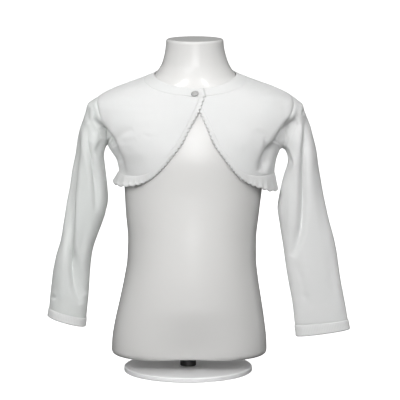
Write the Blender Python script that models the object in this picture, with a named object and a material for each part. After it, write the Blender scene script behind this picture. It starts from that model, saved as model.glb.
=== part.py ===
"""A child's fine-knit shrug, buttoned at the neck, on a limbless torso form.

The form stands on a low round base, the shrug hangs over its shoulders and its
empty sleeves hang free.  Metres, +Z up, the front faces -Y, and the origin is
the centre of the base's underside.  Right and left are the wearer's, so the
right side is at -X.  Tables are in millimetres and degrees.
"""

import bisect
import math
from collections import namedtuple

import bmesh
import bpy
from mathutils import Vector

MM = 0.001

# Cloth
WALL = 1.5                  # knitted wall
BAND_WALL = 1.9             # doubled knit of the neckband, edgings and cuffs
SEAM = 0.4                  # gap between pieces that are sewn together
LAP_RISE = 2.5              # how far the right front lies above the left one
LAP_START = -36.0           # the right front starts to rise here, across the chest
LAP_FULL = -14.0
LAP_LOW = 344.0             # and at this height, to its full rise at LAP_HIGH
LAP_HIGH = 373.0

# Armholes, as ovals on the body surface
ARMHOLE_TOP = 389.5
UNDERARM = {"right": 320.0, "left": 314.5}
ARMHOLE_FRONT_TURN = 25.0   # how far the oval reaches round from the side
ARMHOLE_BACK_TURN = 22.0
ARMHOLE_SAG = 0.16          # the oval is fuller below its middle
ARMHOLE_ROUND = 0.85        # below 1 the oval is squarer

# How a panel's inner points are carried out to the cloth
LEVEL_WAY_BELOW = 345.0
UPWARD_WAY_ABOVE = 392.0
WAY_SPAN = 45.0
HALVINGS = 40               # of the span, to find where a way meets the cloth

# Mesh divisions
HALF_ARMHOLE = 12           # stations from the shoulder point to the underarm
SHOULDER_STEPS = 5          # stations along a shoulder seam
PANEL_ROWS = 12             # rows of a front, and stations of its neckline
SIDE_SEAM_ROWS = 4          # rows of the back below the underarms
BACK_NECK_STEPS = 8
SLEEVE_RINGS = 21           # rings of a sleeve below the armhole
FORM_STEPS = 36             # points round the torso form

# Scalloped edging
FRONT_SCALLOPS = 30
BACK_SCALLOPS = 36
SCALLOP_DEPTH = 1.3

EDGING_SHARES = (0.0, 0.35, 0.7, 1.0)   # rows of points across an edging
FLARE_BEND = 0.9            # a flare stands out as this power of the way down

# Neckband
NECKBAND_SHARES = (0.0, 0.5, 1.0)
NECKBAND_RUN_ON = 3.4       # its ends run on this many degrees over the edgings

# Button
BUTTON_RADIUS = 5.4
BUTTON_STEPS = 20
ButtonRow = namedtuple("ButtonRow", "radius_share height")
BUTTON_ROWS = [
    ButtonRow(0.72, 0.0),
    ButtonRow(0.94, 0.5),
    ButtonRow(1.00, 1.3),
    ButtonRow(0.95, 2.2),
    ButtonRow(0.80, 2.8),
    ButtonRow(0.62, 2.3),
    ButtonRow(0.40, 1.9),
]
BUTTON_ACROSS = -0.6        # from the centre line of the neck
BUTTON_AT = 398.6           # height of its centre

# Stand
BASE_RADIUS = 90.0
BASE_HEIGHT = 7.0
BASE_ROUND = 2.0            # rounding of its top edge
BASE_CHAMFER = 0.8          # of its bottom edge
STUB_RADIUS = 11.2
STUB_STEPS = 24
FORM_FOOT = 24.5            # height of the form's flat underside
STUB_CLEARANCE = 0.3
ROUND_STEPS = 48

FormRow = namedtuple("FormRow", "height half_width front back shift fullness")
FORM_ROWS = [
    FormRow(24.5, 104.5, 71.5, 74.0, 1.5, 2.1),
    FormRow(26.5, 107.6, 74.5, 77.2, 1.5, 2.1),
    FormRow(31.0, 109.0, 75.8, 78.6, 1.5, 2.1),
    FormRow(46.0, 108.4, 76.4, 79.0, 1.6, 2.1),
    FormRow(71.0, 105.1, 77.4, 76.5, 2.2, 2.1),
    FormRow(102.0, 99.4, 79.0, 70.5, 3.4, 2.1),
    FormRow(133.0, 93.8, 79.4, 62.5, 4.3, 2.1),
    FormRow(160.0, 90.4, 78.2, 57.0, 5.1, 2.1),
    FormRow(188.0, 89.9, 76.2, 55.6, 5.6, 2.1),
    FormRow(223.0, 93.0, 74.4, 60.0, 6.1, 2.15),
    FormRow(257.0, 96.0, 74.2, 66.0, 7.2, 2.2),
    FormRow(285.0, 98.0, 75.4, 70.5, 8.0, 2.2),
    FormRow(304.0, 100.0, 76.0, 72.0, 8.6, 2.2),
    FormRow(316.0, 104.0, 75.5, 72.4, 9.0, 2.1),
    FormRow(326.0, 112.0, 74.4, 72.5, 9.3, 2.1),
    FormRow(336.0, 122.0, 72.8, 72.0, 9.6, 2.1),
    FormRow(348.0, 131.5, 70.4, 71.0, 9.8, 2.1),
    FormRow(360.0, 136.0, 67.5, 69.2, 10.0, 2.1),
    FormRow(372.0, 135.5, 64.0, 66.0, 10.2, 2.1),
    FormRow(382.0, 131.0, 60.8, 61.5, 10.3, 2.05),
    FormRow(389.0, 125.0, 58.4, 57.8, 10.3, 2.0),
    FormRow(394.7, 116.0, 56.2, 54.6, 10.3, 2.0),
    FormRow(400.3, 104.2, 53.8, 51.5, 10.3, 2.0),
    FormRow(406.0, 87.5, 51.0, 48.6, 10.2, 2.0),
    FormRow(411.8, 71.8, 48.2, 46.0, 10.2, 2.0),
    FormRow(416.0, 61.2, 45.9, 44.3, 10.2, 2.0),
    FormRow(420.0, 56.2, 43.8, 43.0, 10.2, 2.0),
    FormRow(425.0, 52.4, 41.6, 41.6, 10.2, 2.0),
    FormRow(430.0, 49.2, 40.0, 40.4, 10.2, 2.0),
    FormRow(436.0, 46.2, 38.6, 39.3, 10.1, 2.0),
    FormRow(448.0, 42.6, 37.2, 38.2, 9.8, 2.0),
    FormRow(460.0, 40.4, 36.6, 37.6, 9.5, 2.0),
    FormRow(467.5, 39.8, 36.4, 37.4, 9.5, 2.0),
    FormRow(469.3, 38.3, 34.9, 35.9, 9.5, 2.0),
]

# The middle of the body cloth, as level sections round the torso.
BodyRow = namedtuple("BodyRow", "height right left front back shift fullness")
BODY_ROWS = [
    BodyRow(250.0, 103.6, 111.0, 77.8, 74.0, 7.0, 2.3),
    BodyRow(268.0, 103.6, 111.4, 78.2, 74.2, 7.5, 2.3),
    BodyRow(285.0, 104.2, 112.3, 78.6, 74.8, 8.0, 2.35),
    BodyRow(300.0, 107.6, 113.8, 78.9, 75.6, 8.5, 2.4),
    BodyRow(317.0, 118.3, 119.5, 78.5, 75.8, 9.0, 2.4),
    BodyRow(332.0, 127.2, 127.8, 76.6, 75.6, 9.5, 2.4),
    BodyRow(347.0, 134.6, 134.8, 73.7, 74.4, 9.8, 2.4),
    BodyRow(362.0, 139.0, 139.0, 70.0, 72.2, 10.0, 2.35),
    BodyRow(374.0, 140.3, 140.3, 66.4, 68.6, 10.2, 2.25),
    BodyRow(382.0, 139.2, 139.2, 63.7, 64.6, 10.3, 2.15),
    BodyRow(387.5, 136.0, 136.0, 61.8, 61.6, 10.3, 2.1),
    BodyRow(393.0, 128.4, 128.4, 59.8, 58.6, 10.3, 2.05),
    BodyRow(398.5, 117.2, 117.2, 57.5, 55.4, 10.3, 2.0),
    BodyRow(404.0, 104.6, 104.6, 55.0, 52.4, 10.2, 2.0),
    BodyRow(410.0, 87.6, 87.6, 52.0, 49.6, 10.2, 2.0),
    BodyRow(415.5, 72.6, 72.6, 49.2, 47.4, 10.2, 2.0),
    BodyRow(421.0, 60.2, 60.2, 46.4, 45.5, 10.2, 2.0),
    BodyRow(427.0, 54.6, 54.6, 43.9, 43.9, 10.2, 2.0),
    BodyRow(433.0, 51.2, 51.2, 42.0, 42.6, 10.2, 2.0),
]

# The neckline: its seam and the band's free edge, from centre front to centre back.
NeckRow = namedtuple("NeckRow", "turn seam edge")
NECK_ROWS = [
    NeckRow(0.0, 394.4, 404.6),
    NeckRow(18.0, 399.0, 408.6),
    NeckRow(32.0, 404.0, 412.6),
    NeckRow(55.0, 411.2, 417.6),
    NeckRow(90.0, 416.6, 421.4),
    NeckRow(130.0, 415.4, 423.2),
    NeckRow(180.0, 412.4, 422.0),
]

# The seam that joins each front to its edging, from the neck down and round to
# the side: how far across the chest it lies, and the edging's width and flare.
EdgeRow = namedtuple("EdgeRow", "along height right left right_width left_width "
                     "right_flare left_flare")
EDGE_ROWS = [
    EdgeRow(0.00, 394.8, 6.6, 2.8, 3.4, 3.4, 0.0, 0.0),
    EdgeRow(0.08, 383.0, 2.2, 8.2, 3.4, 3.4, 0.0, 0.0),
    EdgeRow(0.17, 370.0, -4.4, 14.4, 3.4, 3.4, 0.0, 0.0),
    EdgeRow(0.27, 354.5, -12.4, 22.2, 3.4, 3.4, 0.0, 0.0),
    EdgeRow(0.38, 337.0, -21.4, 30.0, 3.5, 3.5, 0.0, 0.0),
    EdgeRow(0.52, 316.0, -36.6, 44.6, 3.7, 3.7, 0.0, 0.0),
    EdgeRow(0.62, 303.0, -47.4, 55.8, 4.2, 4.2, 0.0, 0.0),
    EdgeRow(0.70, 294.6, -56.4, 64.0, 5.2, 5.4, 0.1, 0.1),
    EdgeRow(0.77, 289.4, -65.4, 72.4, 7.2, 7.8, 0.4, 0.4),
    EdgeRow(0.84, 286.4, -75.4, 82.0, 10.2, 11.4, 1.4, 1.2),
    EdgeRow(0.90, 284.8, -87.0, 93.2, 12.6, 15.4, 3.4, 2.8),
    EdgeRow(0.95, 284.2, -97.0, 103.4, 13.8, 20.0, 6.2, 5.0),
    EdgeRow(1.00, 284.0, -104.2, 112.3, 14.2, 25.0, 8.4, 6.6),
]

# The back's hem seam and its band, by the turn round from the middle of the front.
HemRow = namedtuple("HemRow", "turn height right_width left_width right_flare left_flare")
HEM_ROWS = [
    HemRow(90.0, 284.0, 14.2, 25.0, 8.4, 6.6),
    HemRow(105.0, 283.6, 13.8, 21.0, 5.6, 5.0),
    HemRow(125.0, 282.6, 13.0, 15.0, 2.6, 2.6),
    HemRow(150.0, 281.6, 12.4, 12.6, 1.3, 1.3),
    HemRow(180.0, 281.2, 12.2, 12.2, 1.0, 1.0),
]

# Sleeves, ring by ring from the shoulder to the wrist: the outer and the inner
# edge of the hanging tube, and how far it stands out in front and behind.
SleeveRow = namedtuple("SleeveRow", "outer outer_z inner inner_z front back")
SLEEVE_ROWS = {
    "right": [
        SleeveRow(142.9, 384.3, 121.4, 321.6, 30.5, 33.5),
        SleeveRow(149.7, 378.6, 123.8, 319.8, 27.5, 32.0),
        SleeveRow(152.2, 370.1, 125.8, 316.0, 28.5, 32.0),
        SleeveRow(155.8, 358.8, 127.2, 311.0, 31.0, 32.5),
        SleeveRow(160.7, 344.6, 127.8, 303.5, 32.0, 32.5),
        SleeveRow(164.2, 330.5, 126.6, 292.0, 32.5, 32.5),
        SleeveRow(167.0, 310.6, 125.0, 279.0, 32.5, 32.5),
        SleeveRow(171.5, 289.4, 123.0, 262.4, 32.0, 32.0),
        SleeveRow(174.7, 268.1, 122.2, 245.4, 31.5, 31.5),
        SleeveRow(179.6, 242.6, 125.4, 226.0, 30.5, 30.5),
        SleeveRow(184.5, 211.4, 135.5, 197.2, 29.0, 29.0),
        SleeveRow(189.0, 185.9, 144.0, 171.7, 28.0, 28.0),
        SleeveRow(196.4, 160.4, 147.4, 146.2, 27.0, 27.0),
        SleeveRow(200.6, 136.3, 149.0, 121.7, 26.0, 26.0),
        SleeveRow(203.4, 113.7, 151.0, 99.0, 25.0, 25.0),
        SleeveRow(205.8, 90.0, 153.4, 75.8, 24.0, 24.0),
    ],
    "left": [
        SleeveRow(143.1, 383.4, 121.8, 316.0, 31.0, 33.5),
        SleeveRow(149.4, 378.0, 125.0, 313.6, 27.5, 32.0),
        SleeveRow(151.6, 370.1, 127.8, 308.4, 28.0, 31.5),
        SleeveRow(155.7, 359.5, 129.2, 302.4, 29.5, 31.0),
        SleeveRow(160.3, 347.5, 129.2, 296.4, 30.0, 30.5),
        SleeveRow(164.2, 333.3, 127.4, 289.0, 29.5, 29.5),
        SleeveRow(169.0, 313.5, 124.2, 279.4, 28.5, 28.5),
        SleeveRow(172.6, 289.4, 120.6, 266.0, 27.0, 27.0),
        SleeveRow(176.0, 269.5, 117.4, 250.5, 25.5, 25.5),
        SleeveRow(180.6, 245.4, 115.0, 231.3, 24.0, 24.0),
        SleeveRow(186.5, 218.5, 117.9, 209.0, 22.0, 22.0),
        SleeveRow(193.6, 191.6, 122.0, 184.0, 20.0, 20.0),
        SleeveRow(199.1, 164.7, 125.8, 157.6, 18.5, 18.5),
        SleeveRow(202.9, 136.3, 130.2, 129.5, 17.0, 17.0),
        SleeveRow(208.2, 108.8, 135.6, 101.5, 15.5, 15.5),
        SleeveRow(214.9, 72.6, 140.0, 65.4, 14.0, 14.0),
    ],
}
CUFF_ROWS = {
    "right": SleeveRow(207.3, 78.6, 154.9, 64.2, 24.2, 24.2),
    "left": SleeveRow(217.0, 59.6, 142.0, 49.4, 14.2, 14.2),
}
CUFF_SWELL = 0.7            # how far the cuff stands proud of the sleeve
CUFF_SEAM = 0.6             # gap between the cuff and the sleeve, along the slope
SHOULDER_CENTRE = 10.2      # the shoulders' middle lies this far towards +X
SLEEVE_FULLNESS = 2.15

# Folds in the sleeves.  They run from ring to ring; across is 1 at the outer
# edge and -1 at the inner one; a face is front (1) or back (-1).
FOLD_FADE = 0.6             # below 1 a fold keeps its depth nearer its ends
SleeveFold = namedtuple("SleeveFold", "first last across_first across_last depth width face")
SLEEVE_FOLDS = {
    "right": [
        SleeveFold(3.5, 15.0, 0.80, -0.35, 3.4, 0.30, 1),
        SleeveFold(1.0, 8.5, 0.62, -0.45, 3.8, 0.30, 1),
        SleeveFold(4.0, 14.0, 0.55, 0.10, 3.6, 0.32, -1),
        SleeveFold(1.0, 7.5, 0.20, -0.60, 3.6, 0.30, -1),
    ],
    "left": [
        SleeveFold(1.5, 13.0, 0.70, -0.78, 3.8, 0.30, 1),
        SleeveFold(0.5, 6.5, -0.20, -0.72, 3.2, 0.26, 1),
        SleeveFold(2.0, 12.5, 0.30, -0.50, 3.6, 0.30, -1),
        SleeveFold(1.0, 8.0, 0.75, 0.40, 3.2, 0.28, -1),
    ],
}

# Folds in the body: soft troughs between two spots on the front or the back.
BodyFold = namedtuple("BodyFold", "across height to_across to_height depth width face")
BODY_FOLDS = [
    BodyFold(-119.0, 346.0, -97.0, 328.0, 2.2, 7.0, 1),
    BodyFold(-114.0, 330.0, -93.0, 307.0, 2.0, 7.0, 1),
    BodyFold(-98.0, 300.0, -92.0, 288.0, 1.4, 8.0, 1),
    BodyFold(84.0, 349.0, 101.0, 339.0, 2.0, 6.0, 1),
    BodyFold(97.0, 338.0, 98.0, 316.0, 2.6, 6.5, 1),
    BodyFold(94.0, 303.0, 92.0, 289.0, 1.8, 8.0, 1),
    BodyFold(-112.0, 340.0, -90.0, 322.0, 2.2, 7.5, -1),
    BodyFold(-101.0, 314.0, -88.0, 292.0, 1.6, 8.0, -1),
    BodyFold(110.0, 342.0, 92.0, 325.0, 2.2, 7.5, -1),
    BodyFold(103.0, 316.0, 95.0, 292.0, 1.8, 8.0, -1),
]

KNIT_WHITE = (0.86, 0.87, 0.87)
FORM_WHITE = (0.84, 0.84, 0.85)
BUTTON_PEARL = (0.55, 0.55, 0.54)
STUB_BLACK = (0.02, 0.02, 0.02)


# ---------------------------------------------------------------- reading tables

def curve(spots, values, at):
    """A value between known ones, on a smooth curve that never overshoots them."""
    if at <= spots[0]:
        return values[0]
    if at >= spots[-1]:
        return values[-1]
    low = bisect.bisect_right(spots, at) - 1
    span = spots[low + 1] - spots[low]
    enter = bend_slope(spots, values, low)
    leave = bend_slope(spots, values, low + 1)
    t = (at - spots[low]) / span
    gain = (values[low + 1] - values[low]) * (3 * t ** 2 - 2 * t ** 3)
    bend = enter * (t - 2 * t ** 2 + t ** 3) + leave * (t ** 3 - t ** 2)
    return values[low] + gain + bend * span


def read(rows, column, at, key="height"):
    """One column of a table, between its rows."""
    spots = [getattr(row, key) for row in rows]
    values = [getattr(row, column) for row in rows]
    return curve(spots, values, at)


def bend_slope(spots, values, index):
    """The slope of the smooth curve at one row."""
    if index == 0 or index == len(spots) - 1:
        near = 1 if index == 0 else index
        return (values[near] - values[near - 1]) / (spots[near] - spots[near - 1])
    before = (values[index] - values[index - 1]) / (spots[index] - spots[index - 1])
    after = (values[index + 1] - values[index]) / (spots[index + 1] - spots[index])
    if before * after <= 0:
        return 0.0
    return 2 * before * after / (before + after)


def ramp(value, start, end):
    """0 before start, 1 past end, and a smooth rise between."""
    t = min(1.0, max(0.0, (value - start) / (end - start)))
    return t * t * (3 - 2 * t)


# ---------------------------------------------------------------- body surface

def section_spot(turn, reach, depth, fullness):
    """A point on a level oval section; turn 0 is its front and 90 degrees its side."""
    power = 2.0 / fullness
    side = math.sin(turn)
    ahead = math.cos(turn)
    x = math.copysign(reach * abs(side) ** power, side)
    y = math.copysign(depth * abs(ahead) ** power, -ahead)
    return x, y


def body_middle(turn, height):
    """The middle of the body cloth, before folds, at a turn round it and a height."""
    reach = read(BODY_ROWS, "left" if math.sin(turn) > 0 else "right", height)
    depth = read(BODY_ROWS, "front" if math.cos(turn) > 0 else "back", height)
    x, y = section_spot(turn, reach, depth, read(BODY_ROWS, "fullness", height))
    return Vector((x + read(BODY_ROWS, "shift", height), y, height))


def body_normal(turn, height):
    """The direction out of the body cloth."""
    step_turn = 0.004
    step_height = 0.3
    round_it = body_middle(turn + step_turn, height) - body_middle(turn - step_turn, height)
    up_it = body_middle(turn, height + step_height) - body_middle(turn, height - step_height)
    return round_it.cross(up_it).normalized()


def body_fold(turn, height):
    """How far the folds push the cloth in at one place."""
    spot = body_middle(turn, height)
    across = spot.x - read(BODY_ROWS, "shift", height)
    face = 1 if math.cos(turn) > 0 else -1
    push = 0.0
    for fold in BODY_FOLDS:
        if fold.face != face:
            continue
        run = Vector((fold.to_across - fold.across, fold.to_height - fold.height))
        offset = Vector((across - fold.across, height - fold.height))
        share = min(1.0, max(0.0, offset.dot(run) / run.length_squared))
        away = (offset - run * share).length
        push += fold.depth * math.exp(-(away / fold.width) ** 2)
    return push


def lap_rise(turn, height):
    """How far the right front is raised to lie over the left one."""
    across = body_middle(turn, height).x - read(BODY_ROWS, "shift", height)
    return LAP_RISE * ramp(across, LAP_START, LAP_FULL) * ramp(height, LAP_LOW, LAP_HIGH)


def body_spot(turn, height, out=0.0, lapped=False):
    """A point of the body cloth, out from its middle, with folds and overlap."""
    lift = out - body_fold(turn, height)
    if lapped:
        lift += lap_rise(turn, height)
    return body_middle(turn, height) + body_normal(turn, height) * lift


def turn_at(across, height):
    """The turn at which the front's cloth lies this far across, at a height."""
    reach = read(BODY_ROWS, "left" if across > 0 else "right", height)
    share = min(1.0, abs(across) / reach)
    turn = math.asin(share ** (read(BODY_ROWS, "fullness", height) / 2))
    return math.copysign(turn, across)


def armhole_place(share, side, face):
    """Turn and height on the armhole: share 0 is the shoulder point, 1 the underarm."""
    angle = math.pi * share
    half = (ARMHOLE_TOP - UNDERARM[side]) / 2
    height = UNDERARM[side] + half * (1 + math.cos(angle))
    reach = ARMHOLE_FRONT_TURN if face > 0 else ARMHOLE_BACK_TURN
    bulge = math.sin(angle) ** ARMHOLE_ROUND * (1 - ARMHOLE_SAG * math.cos(angle))
    turn = math.radians(90 - face * reach * bulge)
    return (turn if side == "left" else -turn), height


# ---------------------------------------------------------------- mesh helpers

def material(name, colour, roughness, metallic=0.0):
    """A plain surface of one colour."""
    made = bpy.data.materials.new(name)
    made.use_nodes = True
    shader = made.node_tree.nodes["Principled BSDF"]
    shader.inputs["Base Color"].default_value = (*colour, 1.0)
    shader.inputs["Roughness"].default_value = roughness
    shader.inputs["Metallic"].default_value = metallic
    return made


def finish(name, mesh, surface, sharp_angle=50.0):
    """A named object from a closed mesh, smooth but for its sharp edges."""
    bmesh.ops.scale(mesh, vec=(MM, MM, MM), verts=mesh.verts)
    bmesh.ops.recalc_face_normals(mesh, faces=mesh.faces)
    data = bpy.data.meshes.new(name)
    mesh.to_mesh(data)
    mesh.free()
    data.shade_smooth()
    data.set_sharp_from_angle(angle=math.radians(sharp_angle))
    data.materials.append(surface)
    made = bpy.data.objects.new(name, data)
    bpy.context.scene.collection.objects.link(made)
    return made


def bridge(mesh, first, second, closed):
    """Quads between two rows of points."""
    count = len(first)
    for index in range(count if closed else count - 1):
        after = (index + 1) % count
        mesh.faces.new((first[index], first[after], second[after], second[index]))


def wall(name, outer, inner, surface, closed=False):
    """A thin wall between an outer and an inner grid of points, with its rims.

    closed joins each row's end to its start, which makes a tube.
    """
    mesh = bmesh.new()
    faces = []
    for grid in (outer, inner):
        faces.append([[mesh.verts.new(spot) for spot in row] for row in grid])
        for low, high in zip(faces[-1], faces[-1][1:]):
            bridge(mesh, low, high, closed)
    outside, inside = faces
    for end in (0, -1):
        bridge(mesh, outside[end], inside[end], closed)
    if not closed:
        for end in (0, -1):
            bridge(mesh, [row[end] for row in outside], [row[end] for row in inside], False)
    return finish(name, mesh, surface)


def turned(name, profile, centre, axis, surface, steps=ROUND_STEPS):
    """A solid of revolution: profile holds radius and distance along the axis."""
    mesh = bmesh.new()
    lie = axis.to_track_quat("Z", "Y")
    rings = []
    for radius, along in profile:
        ring = []
        for step in range(steps):
            angle = 2 * math.pi * step / steps
            spot = Vector((radius * math.cos(angle), radius * math.sin(angle), along))
            ring.append(mesh.verts.new(centre + lie @ spot))
        rings.append(ring)
    for low, high in zip(rings, rings[1:]):
        bridge(mesh, low, high, True)
    mesh.faces.new(rings[0])
    mesh.faces.new(rings[-1])
    return finish(name, mesh, surface)


# ---------------------------------------------------------------- stand and form

def make_stand(surfaces):
    """The low round base and the short black stub that carries the form."""
    foot = Vector((0, 0, 0))
    upward = Vector((0, 0, 1))
    profile = [(BASE_RADIUS - BASE_CHAMFER, 0.0), (BASE_RADIUS, BASE_CHAMFER)]
    for degrees in (0, 30, 60, 90):
        angle = math.radians(degrees)
        profile.append((BASE_RADIUS - BASE_ROUND * (1 - math.cos(angle)),
                        BASE_HEIGHT - BASE_ROUND * (1 - math.sin(angle))))
    turned("base_plate", profile, foot, upward, surfaces["base"])
    low = BASE_HEIGHT + STUB_CLEARANCE
    high = FORM_FOOT - STUB_CLEARANCE
    profile = [(STUB_RADIUS, low), (STUB_RADIUS, high)]
    turned("stand_stub", profile, foot, upward, surfaces["stub"], STUB_STEPS)


def make_form(surfaces):
    """The smooth limbless torso: neck, shoulder stubs, chest, waist and hips."""
    mesh = bmesh.new()
    rings = []
    for row in FORM_ROWS:
        ring = []
        for step in range(FORM_STEPS):
            turn = 2 * math.pi * step / FORM_STEPS
            depth = row.front if math.cos(turn) > 0 else row.back
            x, y = section_spot(turn, row.half_width, depth, row.fullness)
            ring.append(mesh.verts.new((x + row.shift, y, row.height)))
        rings.append(ring)
    for low, high in zip(rings, rings[1:]):
        bridge(mesh, low, high, True)
    mesh.faces.new(rings[0])
    mesh.faces.new(rings[-1])
    finish("torso_form", mesh, surfaces["form"])


# ---------------------------------------------------------------- body panels

def edge_place(along, side):
    """Turn and height of a front's edging seam, from the neck (0) to the side (1)."""
    height = read(EDGE_ROWS, "height", along, key="along")
    across = read(EDGE_ROWS, side, along, key="along")
    if along >= 1.0:
        return math.copysign(math.pi / 2, across), height
    return turn_at(across, height), height


def neck_place(share, side):
    """Turn and height of the neckline seam, from a front's edge (0) to its shoulder (1)."""
    start, _ = edge_place(0.0, side)
    end = math.copysign(math.pi / 2, 1 if side == "left" else -1)
    turn = start + (end - start) * share
    return turn, read(NECK_ROWS, "seam", abs(math.degrees(turn)), key="turn")


def section_share(spot):
    """A spot's place in its level section: across, ahead, and 1 in all on the cloth."""
    across = spot.x - read(BODY_ROWS, "shift", spot.z)
    reach = read(BODY_ROWS, "left" if across > 0 else "right", spot.z)
    depth = read(BODY_ROWS, "front" if spot.y < 0 else "back", spot.z)
    power = read(BODY_ROWS, "fullness", spot.z) / 2
    side = math.copysign((abs(across) / reach) ** power, across)
    front = math.copysign((abs(spot.y) / depth) ** power, -spot.y)
    return side, front, math.hypot(side, front)


def place_of(spot):
    """Turn and height where a way out from a spot meets the cloth.

    The way out is level beside the chest and upward under the shoulders.
    """
    lift = ramp(spot.z, LEVEL_WAY_BELOW, UPWARD_WAY_ABOVE)
    reach = read(BODY_ROWS, "right", spot.z)
    depth = read(BODY_ROWS, "front", spot.z)
    across = spot.x - SHOULDER_CENTRE
    level = Vector((across / reach ** 2, spot.y / depth ** 2, 0)).normalized()
    way = level * (1 - lift) + Vector((0, 0, lift))
    near, far = -WAY_SPAN, WAY_SPAN
    for _ in range(HALVINGS):
        middle = (near + far) / 2
        if section_share(spot + way * middle)[2] < 1:
            near = middle
        else:
            far = middle
    met = spot + way * near
    side, front, _ = section_share(met)
    return math.atan2(side, front), met.z


def place_behind(spot):
    """Turn and height of the cloth straight behind a spot."""
    across = spot.x - read(BODY_ROWS, "shift", spot.z)
    return math.pi - turn_at(across, spot.z), spot.z


def patch(south, north, west, east, place=place_of):
    """Places over a four-sided panel, worked out from its four edges.

    south and north run the same way and have as many places; west and east run
    from south to north.  A row of the result runs from west to east, and place
    carries its points out to the cloth.
    """
    edges = [[body_middle(*spot) for spot in edge] for edge in (south, north, west, east)]
    low, high, first, last = edges
    rows = []
    for i in range(len(west)):
        v = i / (len(west) - 1)
        row = []
        for j in range(len(south)):
            u = j / (len(south) - 1)
            sides = low[j] * (1 - v) + high[j] * v + first[i] * (1 - u) + last[i] * u
            corners = (low[0] * (1 - u) + low[-1] * u) * (1 - v)
            corners += (high[0] * (1 - u) + high[-1] * u) * v
            row.append(place(sides - corners))
        rows.append(row)
    rows[0] = list(south)
    rows[-1] = list(north)
    for i, row in enumerate(rows):
        row[0] = west[i]
        row[-1] = east[i]
    return rows


def panel_wall(name, places, face, surface, lapped=False):
    """A panel's wall on the body surface; face 1 is a front and -1 the back."""
    shift = Vector((0, -face * SEAM / 2, 0))
    sheets = []
    for out in (WALL / 2, -WALL / 2):
        sheets.append([[body_spot(turn, height, out, lapped) + shift for turn, height in row]
                       for row in places])
    return wall(name, sheets[0], sheets[1], surface)


def steps(count):
    """Shares from 0 to 1."""
    return [index / count for index in range(count + 1)]


def make_front(side, surfaces):
    """One front, from the neckline and shoulder down to its curved-away edge."""
    end = math.copysign(math.pi / 2, 1 if side == "left" else -1)
    neck_side = read(NECK_ROWS, "seam", 90.0, key="turn")
    shoulder = [(end, neck_side + (ARMHOLE_TOP - neck_side) * share)
                for share in steps(SHOULDER_STEPS)]
    armhole = [armhole_place(share, side, 1) for share in steps(HALF_ARMHOLE)]
    north = shoulder + armhole[1:]
    south = [edge_place(share, side) for share in steps(len(north) - 1)]
    west = [neck_place(share, side) for share in steps(PANEL_ROWS)]
    seam_foot = south[-1][1]
    east = [(end, seam_foot + (UNDERARM[side] - seam_foot) * share)
            for share in steps(PANEL_ROWS)]
    places = patch(south, north, west, east)
    panel_wall(side + "_front", places, 1, surfaces["knit"], lapped=side == "right")


def back_turn(share):
    """Turns across the back, from the right side seam to the left one."""
    return math.radians(-90 - 180 * share)


def make_back(surfaces):
    """The back: a lower part between the side seams, an upper one between the armholes."""
    neck_side = read(NECK_ROWS, "seam", 90.0, key="turn")
    shoulder = [ARMHOLE_TOP + (neck_side - ARMHOLE_TOP) * share
                for share in steps(SHOULDER_STEPS)]
    north = [(back_turn(0), height) for height in shoulder]
    north += [back_neck_place(share) for share in steps(BACK_NECK_STEPS)[1:-1]]
    north += [(back_turn(1), height) for height in reversed(shoulder)]
    shares = steps(len(north) - 1)
    fall = UNDERARM["left"] - UNDERARM["right"]
    middle = [(back_turn(share), UNDERARM["right"] + fall * share) for share in shares]
    south = [hem_place(share) for share in shares]
    side_seams = []
    for foot, top in ((south[0], middle[0]), (south[-1], middle[-1])):
        side_seams.append([(foot[0], foot[1] + (top[1] - foot[1]) * share)
                           for share in steps(SIDE_SEAM_ROWS)])
    armholes = [[armhole_place(1 - share, side, -1) for share in steps(HALF_ARMHOLE)]
                for side in ("right", "left")]
    places = patch(south, middle, *side_seams)
    places += patch(middle, north, *armholes, place=place_behind)[1:]
    panel_wall("back", places, -1, surfaces["knit"])


def from_front(turn):
    """How many degrees a turn lies from the middle of the front."""
    return abs((math.degrees(turn) + 180) % 360 - 180)


def back_neck_place(share):
    """Turn and height of the back's neckline seam, from the right shoulder to the left."""
    turn = back_turn(share)
    return turn, read(NECK_ROWS, "seam", from_front(turn), key="turn")


def hem_place(share):
    """Turn and height of the back's hem seam."""
    turn = back_turn(share)
    return turn, read(HEM_ROWS, "height", from_front(turn), key="turn")


# ---------------------------------------------------------------- bands

def edging(name, stations, shift, surface, lapped=False):
    """A band sewn along an edge, with a scalloped free edge and a flare.

    stations hold turn, height, width and flare, and run along the edge with the
    panel on their left, seen from outside.
    """
    mids = [body_spot(turn, height, 0.0, lapped) for turn, height, _, _ in stations]
    outer = []
    inner = []
    for index, (turn, height, plain_width, flare) in enumerate(stations):
        run = mids[min(len(mids) - 1, index + 1)] - mids[max(0, index - 1)]
        if abs(math.cos(turn)) < 1e-6:
            run = Vector((0, run.y, 0))
        out = body_normal(turn, height)
        away = run.cross(out).normalized()
        width = plain_width + SCALLOP_DEPTH * (index % 2)
        row_out = []
        row_in = []
        for share in EDGING_SHARES:
            reach = SEAM + (width - SEAM) * share
            spot = mids[index] + away * reach + out * flare * share ** FLARE_BEND + shift
            lean = (out - away * flare / width * min(1.0, 2 * share)).normalized()
            row_out.append(spot + lean * BAND_WALL / 2)
            row_in.append(spot - lean * BAND_WALL / 2)
        outer.append(row_out)
        inner.append(row_in)
    wall(name, outer, inner, surface)


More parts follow.
